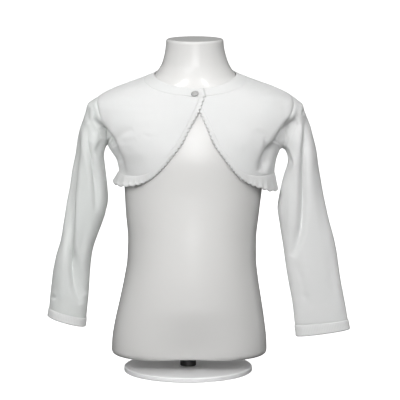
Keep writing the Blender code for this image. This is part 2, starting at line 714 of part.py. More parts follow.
def make_edgings(surfaces):
    """The scalloped edging down each front and the flared band round the hem."""
    for side in ("right", "left"):
        shares = steps(2 * FRONT_SCALLOPS)
        if side == "right":
            shares.reverse()
        stations = []
        for share in shares:
            width = read(EDGE_ROWS, side + "_width", share, key="along")
            flare = read(EDGE_ROWS, side + "_flare", share, key="along")
            stations.append((*edge_place(share, side), width, flare))
        edging(side + "_edging", stations, Vector((0, -SEAM / 2, 0)),
               surfaces["band"], lapped=side == "right")
    stations = []
    for share in reversed(steps(2 * BACK_SCALLOPS)):
        turn, height = hem_place(share)
        side = "left" if math.sin(turn) > 0 else "right"
        width = read(HEM_ROWS, side + "_width", from_front(turn), key="turn")
        flare = read(HEM_ROWS, side + "_flare", from_front(turn), key="turn")
        stations.append((turn, height, width, flare))
    edging("back_hem_band", stations, Vector((0, SEAM / 2, 0)), surfaces["band"])


def make_neckband(surfaces):
    """The band round the neck, whose right end laps over its left end."""
    stations = [(*neck_place(share, "right"), True) for share in steps(PANEL_ROWS)]
    stations += [(*back_neck_place(share), False) for share in steps(BACK_NECK_STEPS)[1:-1]]
    stations += [(*neck_place(1 - share, "left"), False) for share in steps(PANEL_ROWS)]
    run_on = math.radians(NECKBAND_RUN_ON)
    stations[0] = (stations[0][0] + run_on, *stations[0][1:])
    stations[-1] = (stations[-1][0] - run_on, *stations[-1][1:])
    outer = []
    inner = []
    for turn, seam, lapped in stations:
        edge = read(NECK_ROWS, "edge", from_front(turn), key="turn")
        row_out = []
        row_in = []
        for share in NECKBAND_SHARES:
            height = seam + (edge - seam) * share
            for row, out in ((row_out, BAND_WALL / 2), (row_in, -BAND_WALL / 2)):
                spot = body_spot(turn, height, out, lapped)
                if share == 0.0:
                    above = body_spot(turn, height + 1.0, out, lapped)
                    spot += (above - spot).normalized() * SEAM
                row.append(spot)
        outer.append(row_out)
        inner.append(row_in)
    wall("neckband", outer, inner, surfaces["band"])


# ---------------------------------------------------------------- sleeves

def sleeve_row(side, at):
    """The sleeve's measures between its rows; 0 is the first row."""
    rows = SLEEVE_ROWS[side]
    return SleeveRow(*(curve(range(len(rows)), column, at) for column in zip(*rows)))


def ring_spots(row, side, swell=0.0):
    """A ring of a hanging sleeve: outer edge, front, inner edge, back."""
    sign = 1 if side == "left" else -1
    outer = Vector((SHOULDER_CENTRE + sign * row.outer, 0, row.outer_z))
    inner = Vector((SHOULDER_CENTRE + sign * row.inner, 0, row.inner_z))
    centre = (outer + inner) / 2
    half = (outer - inner) / 2
    half *= 1 - (WALL / 2 - swell) / half.length
    spots = []
    for step in range(2 * HALF_ARMHOLE):
        angle = math.pi * step / HALF_ARMHOLE
        along, ahead = section_spot(math.pi / 2 - angle, 1.0, 1.0, SLEEVE_FULLNESS)
        depth = (row.front if ahead < 0 else row.back) - WALL / 2 + swell
        spots.append(centre + half * along + Vector((0, depth * ahead, 0)))
    return spots


def fold_push(side, at, angle):
    """How far a sleeve's folds push it in, at a row and an angle round from its outer edge."""
    face = 1 if angle < math.pi else -1
    around = angle if face > 0 else 2 * math.pi - angle
    push = 0.0
    for fold in SLEEVE_FOLDS[side]:
        share = (at - fold.first) / (fold.last - fold.first)
        if fold.face != face or not 0 < share < 1:
            continue
        across = fold.across_first + (fold.across_last - fold.across_first) * share
        away = (around - math.acos(across)) / fold.width
        push += fold.depth * math.sin(math.pi * share) ** FOLD_FADE * math.exp(-away ** 2)
    return push


def hanging_ring(side, at):
    """A ring of the hanging sleeve with its folds."""
    ring = ring_spots(sleeve_row(side, at), side)
    centre = sum(ring, Vector()) / len(ring)
    return [spot + (centre - spot).normalized() * fold_push(side, at, math.pi * step / HALF_ARMHOLE)
            for step, spot in enumerate(ring)]


def grid_normal(rings, number, step):
    """The direction out of a tube at one of its points."""
    count = len(rings[number])
    low = rings[max(0, number - 1)][step]
    high = rings[min(len(rings) - 1, number + 1)][step]
    before = rings[number][step - 1]
    after = rings[number][(step + 1) % count]
    out = (high - low).cross(after - before).normalized()
    centre = sum(rings[number], Vector()) / count
    return out if out.dot(rings[number][step] - centre) > 0 else -out


def armhole_ring(side):
    """The sleeve's first ring, beside the armhole, with the body cloth's own normals."""
    places = [armhole_place(share, side, 1) for share in steps(HALF_ARMHOLE)]
    places += [armhole_place(1 - share, side, -1) for share in steps(HALF_ARMHOLE)[1:-1]]
    mids = [body_spot(turn, height) for turn, height in places]
    spots = []
    normals = []
    centre = sum(mids, Vector()) / len(mids)
    for index, (turn, height) in enumerate(places):
        run = mids[(index + 1) % len(mids)] - mids[index - 1]
        out = body_normal(turn, height)
        away = run.cross(out).normalized()
        if away.dot(centre - mids[index]) < 0:
            away = -away
        spots.append(mids[index] + away * SEAM)
        normals.append(out)
    return spots, normals


def make_sleeve(side, surfaces):
    """A sleeve that hangs empty from the armhole to the wrist."""
    first, normals = armhole_ring(side)
    last = len(SLEEVE_ROWS[side]) - 1
    rings = [first] + [hanging_ring(side, last * share) for share in steps(SLEEVE_RINGS - 1)]
    outer = []
    inner = []
    for number, ring in enumerate(rings):
        outs = [normals[step] if number == 0 else grid_normal(rings, number, step)
                for step in range(len(ring))]
        outer.append([spot + out * WALL / 2 for spot, out in zip(ring, outs)])
        inner.append([spot - out * WALL / 2 for spot, out in zip(ring, outs)])
    wall(side + "_sleeve", outer, inner, surfaces["knit"], closed=True)


def make_cuff(side, surfaces):
    """The turned band that ends a sleeve."""
    top = ring_spots(SLEEVE_ROWS[side][-1], side, CUFF_SWELL)
    foot = ring_spots(CUFF_ROWS[side], side, CUFF_SWELL)
    start = CUFF_SEAM / min((b - a).length for a, b in zip(top, foot))
    rings = [[a + (b - a) * share for a, b in zip(top, foot)]
             for share in (start, 0.5, 1.0)]
    outer = []
    inner = []
    for number, ring in enumerate(rings):
        outs = [grid_normal(rings, number, step) for step in range(len(ring))]
        outer.append([spot + out * BAND_WALL / 2 for spot, out in zip(ring, outs)])
        inner.append([spot - out * BAND_WALL / 2 for spot, out in zip(ring, outs)])
    wall(side + "_cuff", outer, inner, surfaces["band"], closed=True)


# ---------------------------------------------------------------- button

def make_button(surfaces):
    """The small dished button that holds the fronts at the neck."""
    turn = turn_at(BUTTON_ACROSS, BUTTON_AT)
    out = body_normal(turn, BUTTON_AT)
    seat = body_spot(turn, BUTTON_AT, BAND_WALL / 2 + SEAM, lapped=True)
    profile = [(BUTTON_RADIUS * row.radius_share, row.height) for row in BUTTON_ROWS]
    turned("button", profile, seat, out, surfaces["button"], BUTTON_STEPS)


def clear_scene():
    """Remove what the file holds already."""
    for thing in list(bpy.data.objects):
        bpy.data.objects.remove(thing, do_unlink=True)


def main():
    clear_scene()
    surfaces = {
        "knit": material("white_knit", KNIT_WHITE, 0.92),
        "band": material("white_band_knit", KNIT_WHITE, 0.92),
        "form": material("glossy_white_form", FORM_WHITE, 0.22),
        "button": material("pearl_button", BUTTON_PEARL, 0.3),
        "stub": material("black_stub", STUB_BLACK, 0.5),
        "base": material("white_base", FORM_WHITE, 0.4),
    }
    make_stand(surfaces)
    make_form(surfaces)
    for side in ("right", "left"):
        make_front(side, surfaces)
        make_sleeve(side, surfaces)
        make_cuff(side, surfaces)
    make_back(surfaces)
    make_edgings(surfaces)
    make_neckband(surfaces)
    make_button(surfaces)


main()
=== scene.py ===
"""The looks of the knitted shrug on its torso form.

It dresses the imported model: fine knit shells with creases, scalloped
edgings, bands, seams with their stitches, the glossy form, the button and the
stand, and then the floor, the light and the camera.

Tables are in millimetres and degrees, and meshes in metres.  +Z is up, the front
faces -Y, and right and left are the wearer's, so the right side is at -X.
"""

import math
from collections import namedtuple

import bmesh
import bpy
import numpy as np
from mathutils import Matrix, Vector
from mathutils.bvhtree import BVHTree


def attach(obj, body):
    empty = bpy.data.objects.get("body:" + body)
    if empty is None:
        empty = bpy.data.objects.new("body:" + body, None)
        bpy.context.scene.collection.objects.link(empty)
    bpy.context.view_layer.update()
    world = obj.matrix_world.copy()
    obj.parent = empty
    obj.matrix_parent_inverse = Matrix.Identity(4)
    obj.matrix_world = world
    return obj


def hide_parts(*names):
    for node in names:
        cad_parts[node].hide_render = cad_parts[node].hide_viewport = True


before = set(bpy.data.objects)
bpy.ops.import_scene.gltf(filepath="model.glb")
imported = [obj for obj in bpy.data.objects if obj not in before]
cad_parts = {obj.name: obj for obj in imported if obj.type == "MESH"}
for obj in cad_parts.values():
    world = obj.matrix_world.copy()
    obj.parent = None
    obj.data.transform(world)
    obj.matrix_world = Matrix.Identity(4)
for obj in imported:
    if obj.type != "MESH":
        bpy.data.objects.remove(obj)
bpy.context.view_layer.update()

MM = 0.001
BODY = "root"


def table(kind, *rows):
    """Rows of one kind, whose columns have names."""
    return [kind(*row) for row in rows]


# ---------------------------------------------------------------- sizes

WALL = 1.5                  # knitted wall
BAND_WALL = 1.9             # doubled knit of the bands
SEAM = 0.12                 # sewn pieces come this near each other
LAP_RISE = 2.5              # how far the right front lies above the left one
LAP_START = -36.0           # its rise starts this far across,
LAP_FULL = -14.0            # and is whole here
LAP_LOW = 344.0             # and so it does upwards, between these heights
LAP_HIGH = 373.0

BACKWARD = np.array([0.0, 1.0, 0.0])
UPWARD = np.array([0.0, 0.0, 1.0])
LEVEL = np.array([1.0, 1.0, 0.0])
BACK_SHIFT = BACKWARD * SEAM / 2  # fronts and back are this far off their seams
FRONT_SHIFT = -BACK_SHIFT
AT_SIDE = 1e-6              # a turn at the side seam has a cosine below this

ARMHOLE_TOP = 389.5
UNDERARM = {"right": 320.0, "left": 314.5}  # heights
ARMHOLE_FRONT_TURN = 25.0   # degrees that it reaches forwards from the side,
ARMHOLE_BACK_TURN = 22.0    # and backwards,
ARMHOLE_SAG = 0.16          # which is most a little below its middle
ARMHOLE_ROUND = 0.85
SHOULDER_CENTRE = 10.2      # how far the shoulders' middle lies to the left

LEVEL_WAY_BELOW = 345.0     # the way out to the cloth is level below this height,
UPWARD_WAY_ABOVE = 392.0    # and upward above this one
WAY_SPAN = 45.0             # it meets the cloth within this distance,
HALVINGS = 34               # which is halved this many times

FINE = 7                    # points of a shell for each step of the plain solid
HALF_ARMHOLE = 12 * FINE
SHOULDER_STEPS = 5 * FINE
PANEL_ROWS = 12 * FINE
SIDE_SEAM_ROWS = 4 * FINE
BACK_NECK_STEPS = 8 * FINE

BodyRow = namedtuple("BodyRow", "height right left front back shift fullness")
BODY_ROWS = table(BodyRow,
    (250.0, 103.6, 111.0, 77.8, 74.0, 7.0, 2.3),
    (268.0, 103.6, 111.4, 78.2, 74.2, 7.5, 2.3),
    (285.0, 104.2, 112.3, 78.6, 74.8, 8.0, 2.35),
    (300.0, 107.6, 113.8, 78.9, 75.6, 8.5, 2.4),
    (317.0, 118.3, 119.5, 78.5, 75.8, 9.0, 2.4),
    (332.0, 127.2, 127.8, 76.6, 75.6, 9.5, 2.4),
    (347.0, 134.6, 134.8, 73.7, 74.4, 9.8, 2.4),
    (362.0, 139.0, 139.0, 70.0, 72.2, 10.0, 2.35),
    (374.0, 140.3, 140.3, 66.4, 68.6, 10.2, 2.25),
    (382.0, 139.2, 139.2, 63.7, 64.6, 10.3, 2.15),
    (387.5, 136.0, 136.0, 61.8, 61.6, 10.3, 2.1),
    (393.0, 128.4, 128.4, 59.8, 58.6, 10.3, 2.05),
    (398.5, 117.2, 117.2, 57.5, 55.4, 10.3, 2.0),
    (404.0, 104.6, 104.6, 55.0, 52.4, 10.2, 2.0),
    (410.0, 87.6, 87.6, 52.0, 49.6, 10.2, 2.0),
    (415.5, 72.6, 72.6, 49.2, 47.4, 10.2, 2.0),
    (421.0, 60.2, 60.2, 46.4, 45.5, 10.2, 2.0),
    (427.0, 54.6, 54.6, 43.9, 43.9, 10.2, 2.0),
    (433.0, 51.2, 51.2, 42.0, 42.6, 10.2, 2.0),
)

NeckRow = namedtuple("NeckRow", "turn seam edge")
NECK_ROWS = table(NeckRow,
    (0.0, 394.4, 404.6),
    (18.0, 399.0, 408.6),
    (32.0, 404.0, 412.6),
    (55.0, 411.2, 417.6),
    (90.0, 416.6, 421.4),
    (130.0, 415.4, 423.2),
    (180.0, 412.4, 422.0),
)

EdgeRow = namedtuple("EdgeRow", "along height right left right_width left_width "
                     "right_flare left_flare")
EDGE_ROWS = table(EdgeRow,
    (0.00, 394.8, 6.6, 2.8, 3.4, 3.4, 0.0, 0.0),
    (0.08, 383.0, 2.2, 8.2, 3.4, 3.4, 0.0, 0.0),
    (0.17, 370.0, -4.4, 14.4, 3.4, 3.4, 0.0, 0.0),
    (0.27, 354.5, -12.4, 22.2, 3.4, 3.4, 0.0, 0.0),
    (0.38, 337.0, -21.4, 30.0, 3.5, 3.5, 0.0, 0.0),
    (0.52, 316.0, -36.6, 44.6, 3.7, 3.7, 0.0, 0.0),
    (0.62, 303.0, -47.4, 55.8, 4.2, 4.2, 0.0, 0.0),
    (0.70, 294.6, -56.4, 64.0, 5.2, 5.4, 0.1, 0.1),
    (0.77, 289.4, -65.4, 72.4, 7.2, 7.8, 0.4, 0.4),
    (0.84, 286.4, -75.4, 82.0, 10.2, 11.4, 1.4, 1.2),
    (0.90, 284.8, -87.0, 93.2, 12.6, 15.4, 3.4, 2.8),
    (0.95, 284.2, -97.0, 103.4, 13.8, 20.0, 6.2, 5.0),
    (1.00, 284.0, -104.2, 112.3, 14.2, 25.0, 8.4, 6.6),
)

HemRow = namedtuple("HemRow", "turn height right_width left_width right_flare left_flare")
HEM_ROWS = table(HemRow,
    (90.0, 284.0, 14.2, 25.0, 8.4, 6.6),
    (105.0, 283.6, 13.8, 21.0, 5.6, 5.0),
    (125.0, 282.6, 13.0, 15.0, 2.6, 2.6),
    (150.0, 281.6, 12.4, 12.6, 1.3, 1.3),
    (180.0, 281.2, 12.2, 12.2, 1.0, 1.0),
)

SleeveRow = namedtuple("SleeveRow", "outer outer_z inner inner_z front back")
SLEEVE_ROWS = {
    "right": table(SleeveRow,
        (142.9, 384.3, 121.4, 321.6, 30.5, 33.5),
        (149.7, 378.6, 123.8, 319.8, 27.5, 32.0),
        (152.2, 370.1, 125.8, 316.0, 28.5, 32.0),
        (155.8, 358.8, 127.2, 311.0, 31.0, 32.5),
        (160.7, 344.6, 127.8, 303.5, 32.0, 32.5),
        (164.2, 330.5, 126.6, 292.0, 32.5, 32.5),
        (167.0, 310.6, 125.0, 279.0, 32.5, 32.5),
        (171.5, 289.4, 123.0, 262.4, 32.0, 32.0),
        (174.7, 268.1, 122.2, 245.4, 31.5, 31.5),
        (179.6, 242.6, 125.4, 226.0, 30.5, 30.5),
        (184.5, 211.4, 135.5, 197.2, 29.0, 29.0),
        (189.0, 185.9, 144.0, 171.7, 28.0, 28.0),
        (196.4, 160.4, 147.4, 146.2, 27.0, 27.0),
        (200.6, 136.3, 149.0, 121.7, 26.0, 26.0),
        (203.4, 113.7, 151.0, 99.0, 25.0, 25.0),
        (205.8, 90.0, 153.4, 75.8, 24.0, 24.0),
    ),
    "left": table(SleeveRow,
        (143.1, 383.4, 121.8, 316.0, 31.0, 33.5),
        (149.4, 378.0, 125.0, 313.6, 27.5, 32.0),
        (151.6, 370.1, 127.8, 308.4, 28.0, 31.5),
        (155.7, 359.5, 129.2, 302.4, 29.5, 31.0),
        (160.3, 347.5, 129.2, 296.4, 30.0, 30.5),
        (164.2, 333.3, 127.4, 289.0, 29.5, 29.5),
        (169.0, 313.5, 124.2, 279.4, 28.5, 28.5),
        (172.6, 289.4, 120.6, 266.0, 27.0, 27.0),
        (176.0, 269.5, 117.4, 250.5, 25.5, 25.5),
        (180.6, 245.4, 115.0, 231.3, 24.0, 24.0),
        (186.5, 218.5, 117.9, 209.0, 22.0, 22.0),
        (193.6, 191.6, 122.0, 184.0, 20.0, 20.0),
        (199.1, 164.7, 125.8, 157.6, 18.5, 18.5),
        (202.9, 136.3, 130.2, 129.5, 17.0, 17.0),
        (208.2, 108.8, 135.6, 101.5, 15.5, 15.5),
        (214.9, 72.6, 140.0, 65.4, 14.0, 14.0),
    ),
}
CUFF_ROWS = {
    "right": SleeveRow(207.3, 78.6, 154.9, 64.2, 24.2, 24.2),
    "left": SleeveRow(217.0, 59.6, 142.0, 49.4, 14.2, 14.2),
}

# Creases: each is a way across the cloth, seen from the front or the back, as
# (x, height) spots.  The cloth dips along it to its depth, as wide as its width,
# and rises again beside it, by its ridge; a ridge under 0 rises on the other side.
Crease = namedtuple("Crease", "way depth width ridge")
CREASES = {
    ("body", "front"): table(Crease,
        # right side: from the sleeve head down under the arm, and the drag lines
        ([(-131, 359), (-122, 350), (-114, 340), (-107, 329), (-101, 316), (-96, 302),
          (-90, 284)], 10.0, 5.6, 0.1),
        ([(-122, 347), (-116, 338), (-110, 329), (-105, 319)], 5.0, 5.0, 0.0),
        ([(-106, 331), (-99, 338), (-88, 345), (-75, 351)], 1.9, 5.5, -0.4),
        ([(-104, 327), (-96, 332), (-86, 334), (-72, 339)], 1.1, 5.0, 0.4),
        ([(-113, 325), (-108, 311), (-102, 298)], 1.8, 5.0, 0.3),
        ([(-64, 345), (-50, 341), (-41, 342)], 0.35, 3.0, 0.5),
        # left side: the long hollow from the sleeve head to the waist
        ([(152, 359), (144, 356), (134, 343), (122, 328)], 9.5, 6.6, -0.1),
        ([(124, 332), (115, 321), (108, 308), (101, 289)], 8.4, 7.0, -0.1),
        ([(92, 351), (99, 345), (107, 339)], 1.0, 4.5, 0.4),
        ([(106, 341), (106.5, 331), (105, 318)], 1.9, 3.4, 0.5),
        ([(110, 334), (112, 322), (108, 303), (106, 290)], 1.9, 3.6, 0.3),
        ([(80, 330), (76, 316), (72, 306)], 0.5, 6.0, 0.4),
    ),
    ("body", "back"): table(Crease,
        ([(-124, 352), (-112, 340), (-100, 329), (-86, 322)], 2.8, 6.5, 0.3),
        ([(-112, 331), (-99, 318), (-90, 302), (-84, 290)], 2.4, 6.5, -0.3),
        ([(-100, 336), (-84, 338), (-66, 345)], 1.2, 6.0, 0.5),
        ([(140, 356), (126, 342), (112, 330), (98, 324)], 2.9, 6.5, -0.3),
        ([(122, 333), (110, 316), (104, 300), (100, 289)], 2.6, 6.5, 0.3),
        ([(112, 336), (94, 342), (76, 350)], 1.1, 6.0, -0.5),
        ([(-34, 404), (-12, 396), (20, 395), (48, 402)], 0.9, 7.0, 0.4),
        ([(-22, 312), (-6, 306), (12, 308)], 0.6, 9.0, 0.3),
    ),
    ("right", "front"): table(Crease,
        # the pinch at the shoulder, the two long troughs and the short lower one
        ([(-137, 376), (-138, 368), (-139, 358)], 1.6, 2.8, 0.5),
        ([(-139, 352), (-140, 333), (-136, 309), (-130.5, 280), (-128, 253),
          (-128.5, 230)], 6.2, 4.4, -0.1),
        ([(-153, 342), (-158, 308), (-162.5, 272), (-165, 240), (-165, 196),
          (-163, 157), (-159.5, 126), (-150, 98)], 14.0, 5.5, 0.05),
        ([(-159, 176), (-155, 150), (-151, 128), (-145, 110)], 5.5, 5.6, 0.1),
        ([(-192, 108), (-185, 105)], 1.3, 3.0, 0.3),
        ([(-186, 137), (-184, 120), (-187, 104)], 0.9, 5.5, 0.3),
        ([(-143, 226), (-146, 196), (-152, 170), (-156, 148)], 1.6, 5.5, 0.4),
        ([(-170, 300), (-175, 262), (-178, 226)], 0.9, 6.5, 0.4),
        ([(-172, 96), (-168, 112), (-170, 130)], 0.8, 5.0, 0.3),
        ([(-119, 331), (-124, 322), (-127, 309)], 1.8, 4.0, -0.4),
    ),
    ("right", "back"): table(Crease,
        ([(-140, 366), (-146, 330), (-150, 290), (-148, 250), (-150, 214)], 4.0, 5.5, 0.35),
        ([(-156, 250), (-163, 210), (-166, 170), (-164, 130), (-170, 104)], 3.6, 5.5, -0.35),
        ([(-126, 330), (-134, 300), (-136, 272), (-140, 246)], 2.8, 5.0, 0.4),
        ([(-176, 210), (-184, 178), (-188, 146), (-190, 120)], 1.8, 5.0, 0.4),
        ([(-150, 142), (-156, 120), (-153, 98)], 1.4, 4.5, 0.4),
    ),
    ("left", "front"): table(Crease,
        # the pinch, the long trough, the flap beside the underarm and its shadow
        ([(161, 372), (160.5, 364)], 2.4, 2.6, 0.4),
        ([(162, 364), (164, 344), (162.5, 319), (161, 289), (160.5, 259),
          (159.5, 229), (158, 212), (154.5, 193), (151, 178), (145.5, 164)],
         10.5, 5.4, -0.05),
        ([(153, 356), (144, 350), (135, 338), (128, 326)], 5.5, 7.0, 0.0),
        ([(134, 320), (140, 309), (143, 298), (139, 286)], 2.6, 3.2, 0.6),
        ([(143, 352), (139, 340), (134, 329)], 2.6, 4.2, 0.3),
        ([(176, 300), (181, 262), (187, 222), (193, 186)], 1.2, 6.0, 0.4),
        ([(158, 150), (173, 147.5)], 0.35, 4.0, 0.3),
        ([(157, 113), (168, 103)], 0.45, 4.5, 0.4),
        ([(139, 262), (135, 240), (134, 214), (137, 190)], 1.4, 5.0, 0.3),
        ([(196, 168), (201, 132), (207, 100)], 1.1, 5.0, 0.4),
        ([(150, 158), (160, 128), (168, 96)], 0.9, 6.0, 0.4),
    ),
    ("left", "back"): table(Crease,
        ([(158, 360), (162, 326), (160, 290), (152, 254), (150, 222)], 4.2, 5.2, -0.35),
        ([(140, 330), (146, 302), (143, 276), (138, 248)], 3.0, 5.0, 0.35),
        ([(160, 246), (168, 206), (176, 166), (178, 126)], 2.8, 5.0, 0.35),
        ([(178, 262), (186, 226), (192, 192), (196, 160)], 1.8, 5.0, -0.4),
        ([(156, 152), (164, 128), (168, 100)], 1.5, 4.5, 0.4),
    ),
}
# The cloth comes back along these ways, and forward where the depth is below 0.
FILLS = {
    "body": table(Crease,
        ([(-129, 404), (-130, 386), (-129, 366), (-122, 346)], -5.2, 10.0, 0.0),
        ([(145, 404), (146, 386), (145, 368), (138, 348)], -5.2, 10.0, 0.0),
    ),
    "right": [Crease([(-129, 396), (-131, 378), (-129, 366), (-131, 350), (-136, 330)],
                     5.0, 7.0, 0.0)],
    "left": [Crease([(150, 393), (150.5, 377), (150.5, 365), (152, 346), (153, 330)],
                    3.6, 6.5, 0.0)],
}
FILL_FACING = 0.5           # it does so wholly where it faces this much forwards
CREASE_POINTS = 26          # points of the smooth way through a crease's spots
CREASE_FADE = 0.7           # below 1 a crease keeps its depth nearer its ends
RIDGE_AWAY = 1.75           # a crease's ridge stands this many widths from it
FACING_FULL = 0.3           # a crease is whole where the cloth faces this much its way

FORM_LEAST = 1.15           # the cloth's middle keeps this far from the form,
FORM_SOFT = 1.3             # and bends away softly from this much further off
FORM_REACH = 12.0           # the form is looked for within this distance
SEAM_DIP = 0.22             # the cloth dips this much at a seam
SEAM_DIP_WIDTH = 1.5
BATCH = 4000                # spots that are held against a seam at a time
UNEVEN = 0.16               # the soft unevenness of a knitted cloth
UNEVEN_SMALL = 0.4          # and its smaller waves, as a share of it


# ---------------------------------------------------------------- reading tables

TINY = 1e-9                 # a way shorter than this has no direction


def step_shares(t):
    """How much a smooth step has of its start, end, leaving slope and arriving slope."""
    end = 3 * t ** 2 - 2 * t ** 3
    return 1 - end, end, t - 2 * t ** 2 + t ** 3, t ** 3 - t ** 2


def curve(spots, values, at):
    """Values between known ones, on a smooth curve that never overshoots them."""
    spots = np.asarray(spots, float)
    values = np.asarray(values, float)
    at = np.clip(at, spots[0], spots[-1])
    chords = np.diff(values) / np.diff(spots)
    before, after = chords[:-1], chords[1:]
    same_way = before * after > 0
    slopes = np.zeros_like(values)
    slopes[0], slopes[-1] = chords[0], chords[-1]
    total = np.where(same_way, before + after, 1.0)
    slopes[1:-1] = np.where(same_way, 2 * before * after / total, 0.0)
    low = np.clip(np.searchsorted(spots, at, side="right") - 1, 0, len(spots) - 2)
    span = spots[low + 1] - spots[low]
    start, end, leave, arrive = step_shares((at - spots[low]) / span)
    bend = slopes[low] * leave + slopes[low + 1] * arrive
    return values[low] * start + values[low + 1] * end + bend * span


def read(rows, column, at):
    """One column of a table, between its rows, whose first column says where they are."""
    return curve([row[0] for row in rows], [getattr(row, column) for row in rows], at)


def pick(test, rows, columns, at):
    """The first of two columns of a table where the test holds, and else the second."""
    first, second = columns.split()
    return np.where(test, read(rows, first, at), read(rows, second, at))


def ramp(value, start, end):
    """0 before start, 1 past end, and a smooth rise between."""
    t = np.clip((value - start) / (end - start), 0.0, 1.0)
    return t * t * (3 - 2 * t)


def hump(value, middle, width):
    """1 at the middle, and a soft fall to 0 on both sides."""
    return np.exp(-((value - middle) / width) ** 2)


def steps(count):
    """Shares from 0 to 1."""
    return np.linspace(0.0, 1.0, count + 1)


def lengths_of(vectors):
    return np.linalg.norm(vectors, axis=-1, keepdims=True)


def unit(vectors):
    return vectors / np.maximum(lengths_of(vectors), TINY)


# ---------------------------------------------------------------- body surface

TURN_STEP = 0.004           # the body's slopes are taken over this step, in radians,
HEIGHT_STEP = 0.3           # and this one


def section_spot(turn, reach, depth, fullness):
    """Points on level oval sections; turn 0 is the front and 90 degrees the side."""
    power = 2.0 / fullness
    side = np.sin(turn)
    ahead = np.cos(turn)
    x = np.sign(side) * reach * np.abs(side) ** power
    y = -np.sign(ahead) * depth * np.abs(ahead) ** power
    return x, y


def together(first, second):
    """Two values as arrays of one shape."""
    return np.broadcast_arrays(np.asarray(first, float), np.asarray(second, float))


def body_middle(turn, height):
    """The middle of the body cloth, before creases, at turns round it and heights."""
    turn, height = together(turn, height)
    reach = pick(np.sin(turn) > 0, BODY_ROWS, "left right", height)
    depth = pick(np.cos(turn) > 0, BODY_ROWS, "front back", height)
    x, y = section_spot(turn, reach, depth, read(BODY_ROWS, "fullness", height))
    return np.stack([x + read(BODY_ROWS, "shift", height), y, height], axis=-1)


def body_normal(turn, height):
    """The directions out of the body cloth."""
    round_it = body_middle(turn + TURN_STEP, height) - body_middle(turn - TURN_STEP, height)
    up_it = body_middle(turn, height + HEIGHT_STEP) - body_middle(turn, height - HEIGHT_STEP)
    return unit(np.cross(round_it, up_it))


def lap_rise(turn, height):
    """How far the right front is raised to lie over the left one."""
    across = body_middle(turn, height)[..., 0] - read(BODY_ROWS, "shift", height)
    return LAP_RISE * ramp(across, LAP_START, LAP_FULL) * ramp(height, LAP_LOW, LAP_HIGH)


def turn_at(across, height):
    """The turns at which the front's cloth lies this far across, at heights."""
    across, height = together(across, height)
    reach = pick(across > 0, BODY_ROWS, "left right", height)
    share = np.minimum(1.0, np.abs(across) / reach)
    return np.sign(across) * np.arcsin(share ** (read(BODY_ROWS, "fullness", height) / 2))


def side_turn(side):
    return math.pi / 2 if side == "left" else -math.pi / 2


def armhole_place(share, side, face):
    """Turns and heights on the armhole: share 0 is the shoulder point, 1 the underarm."""
    angle = np.pi * np.asarray(share, float)
    half = (ARMHOLE_TOP - UNDERARM[side]) / 2
    height = UNDERARM[side] + half * (1 + np.cos(angle))
    reach = ARMHOLE_FRONT_TURN if face > 0 else ARMHOLE_BACK_TURN
    bulge = np.abs(np.sin(angle)) ** ARMHOLE_ROUND * (1 - ARMHOLE_SAG * np.cos(angle))
    turn = np.radians(90 - face * reach * bulge)
    return (turn if side == "left" else -turn), height


# ---------------------------------------------------------------- creases

def smooth_way(spots):
    """Points on a smooth way through a crease's spots."""
    spots = np.array(spots, float)
    gone = np.concatenate([[0.0], np.cumsum(lengths_of(np.diff(spots, axis=0))[:, 0])])
    at = np.linspace(0.0, gone[-1], CREASE_POINTS)
    return np.stack([curve(gone, spots[:, 0], at), curve(gone, spots[:, 1], at)], axis=-1)


def crease_push(seen, crease):
    """How far one crease moves the cloth out, at places seen flat as x and height."""
    way = smooth_way(crease.way)
    runs = np.diff(way, axis=0)
    offset = seen[..., None, :] - way[:-1]
    share = np.clip((offset * runs).sum(-1) / (runs ** 2).sum(-1), 0.0, 1.0)
    far = lengths_of(offset - share[..., None] * runs)[..., 0]
    nearest = far.argmin(-1)[..., None]
    turn_side = np.sign(runs[:, 0] * offset[..., 1] - runs[:, 1] * offset[..., 0])
    along = (nearest + np.take_along_axis(share, nearest, -1))[..., 0] / len(runs)
    away = (np.take_along_axis(far, nearest, -1)
            * np.take_along_axis(turn_side, nearest, -1))[..., 0] / crease.width
    rise_side = math.copysign(RIDGE_AWAY, crease.ridge)
    shape = abs(crease.ridge) * hump(away, rise_side, 1.0) - hump(away, 0.0, 1.0)
    return crease.depth * shape * np.sin(np.pi * along) ** CREASE_FADE


def creased(spots, normals, place):
    """How far the creases of a place, such as body or left, move the cloth out."""
    seen = spots[..., [0, 2]]
    push = np.zeros(spots.shape[:-1])
    for face, way in (("front", -1), ("back", 1)):
        facing = ramp(normals[..., 1] * way, 0.0, FACING_FULL)
        if not facing.any():
            continue
        for crease in CREASES[place, face]:
            push += facing * crease_push(seen, crease)
    return push


def filled(spots, normals, place):
    """How far the cloth comes forward beside the armholes, as moves."""
    seen = spots[..., [0, 2]]
    facing = ramp(-normals[..., 1], 0.0, FILL_FACING)
    move = np.zeros(spots.shape)
    for fill in FILLS[place]:
        move[..., 1] -= facing * crease_push(seen, fill)
    return move


def uneven(spots):
    """The soft unevenness of the whole cloth, from waves of these lengths."""
    x, y, z = np.moveaxis(spots, -1, 0)
    broad = np.sin(x / 9.1 + z / 13.7) * np.sin(z / 10.9 - y / 8.3 + 0.7)
    small = np.sin(x / 3.9 - z / 5.3 + y / 4.7) * np.sin(z / 4.1 + x / 6.1)
    return UNEVEN * (broad + UNEVEN_SMALL * small)


def seam_dip(spots, seams):
    """How far the cloth dips beside its seams."""
    flat = spots.reshape(-1, 3)
    near = np.full(len(flat), np.inf)
    for seam in seams:
        for start in range(0, len(flat), BATCH):
            part = slice(start, start + BATCH)
            gap = lengths_of(flat[part, None] - seam[None])[..., 0].min(-1)
            near[part] = np.minimum(near[part], gap)
    return -SEAM_DIP * hump(near.reshape(spots.shape[:-1]), 0.0, SEAM_DIP_WIDTH)


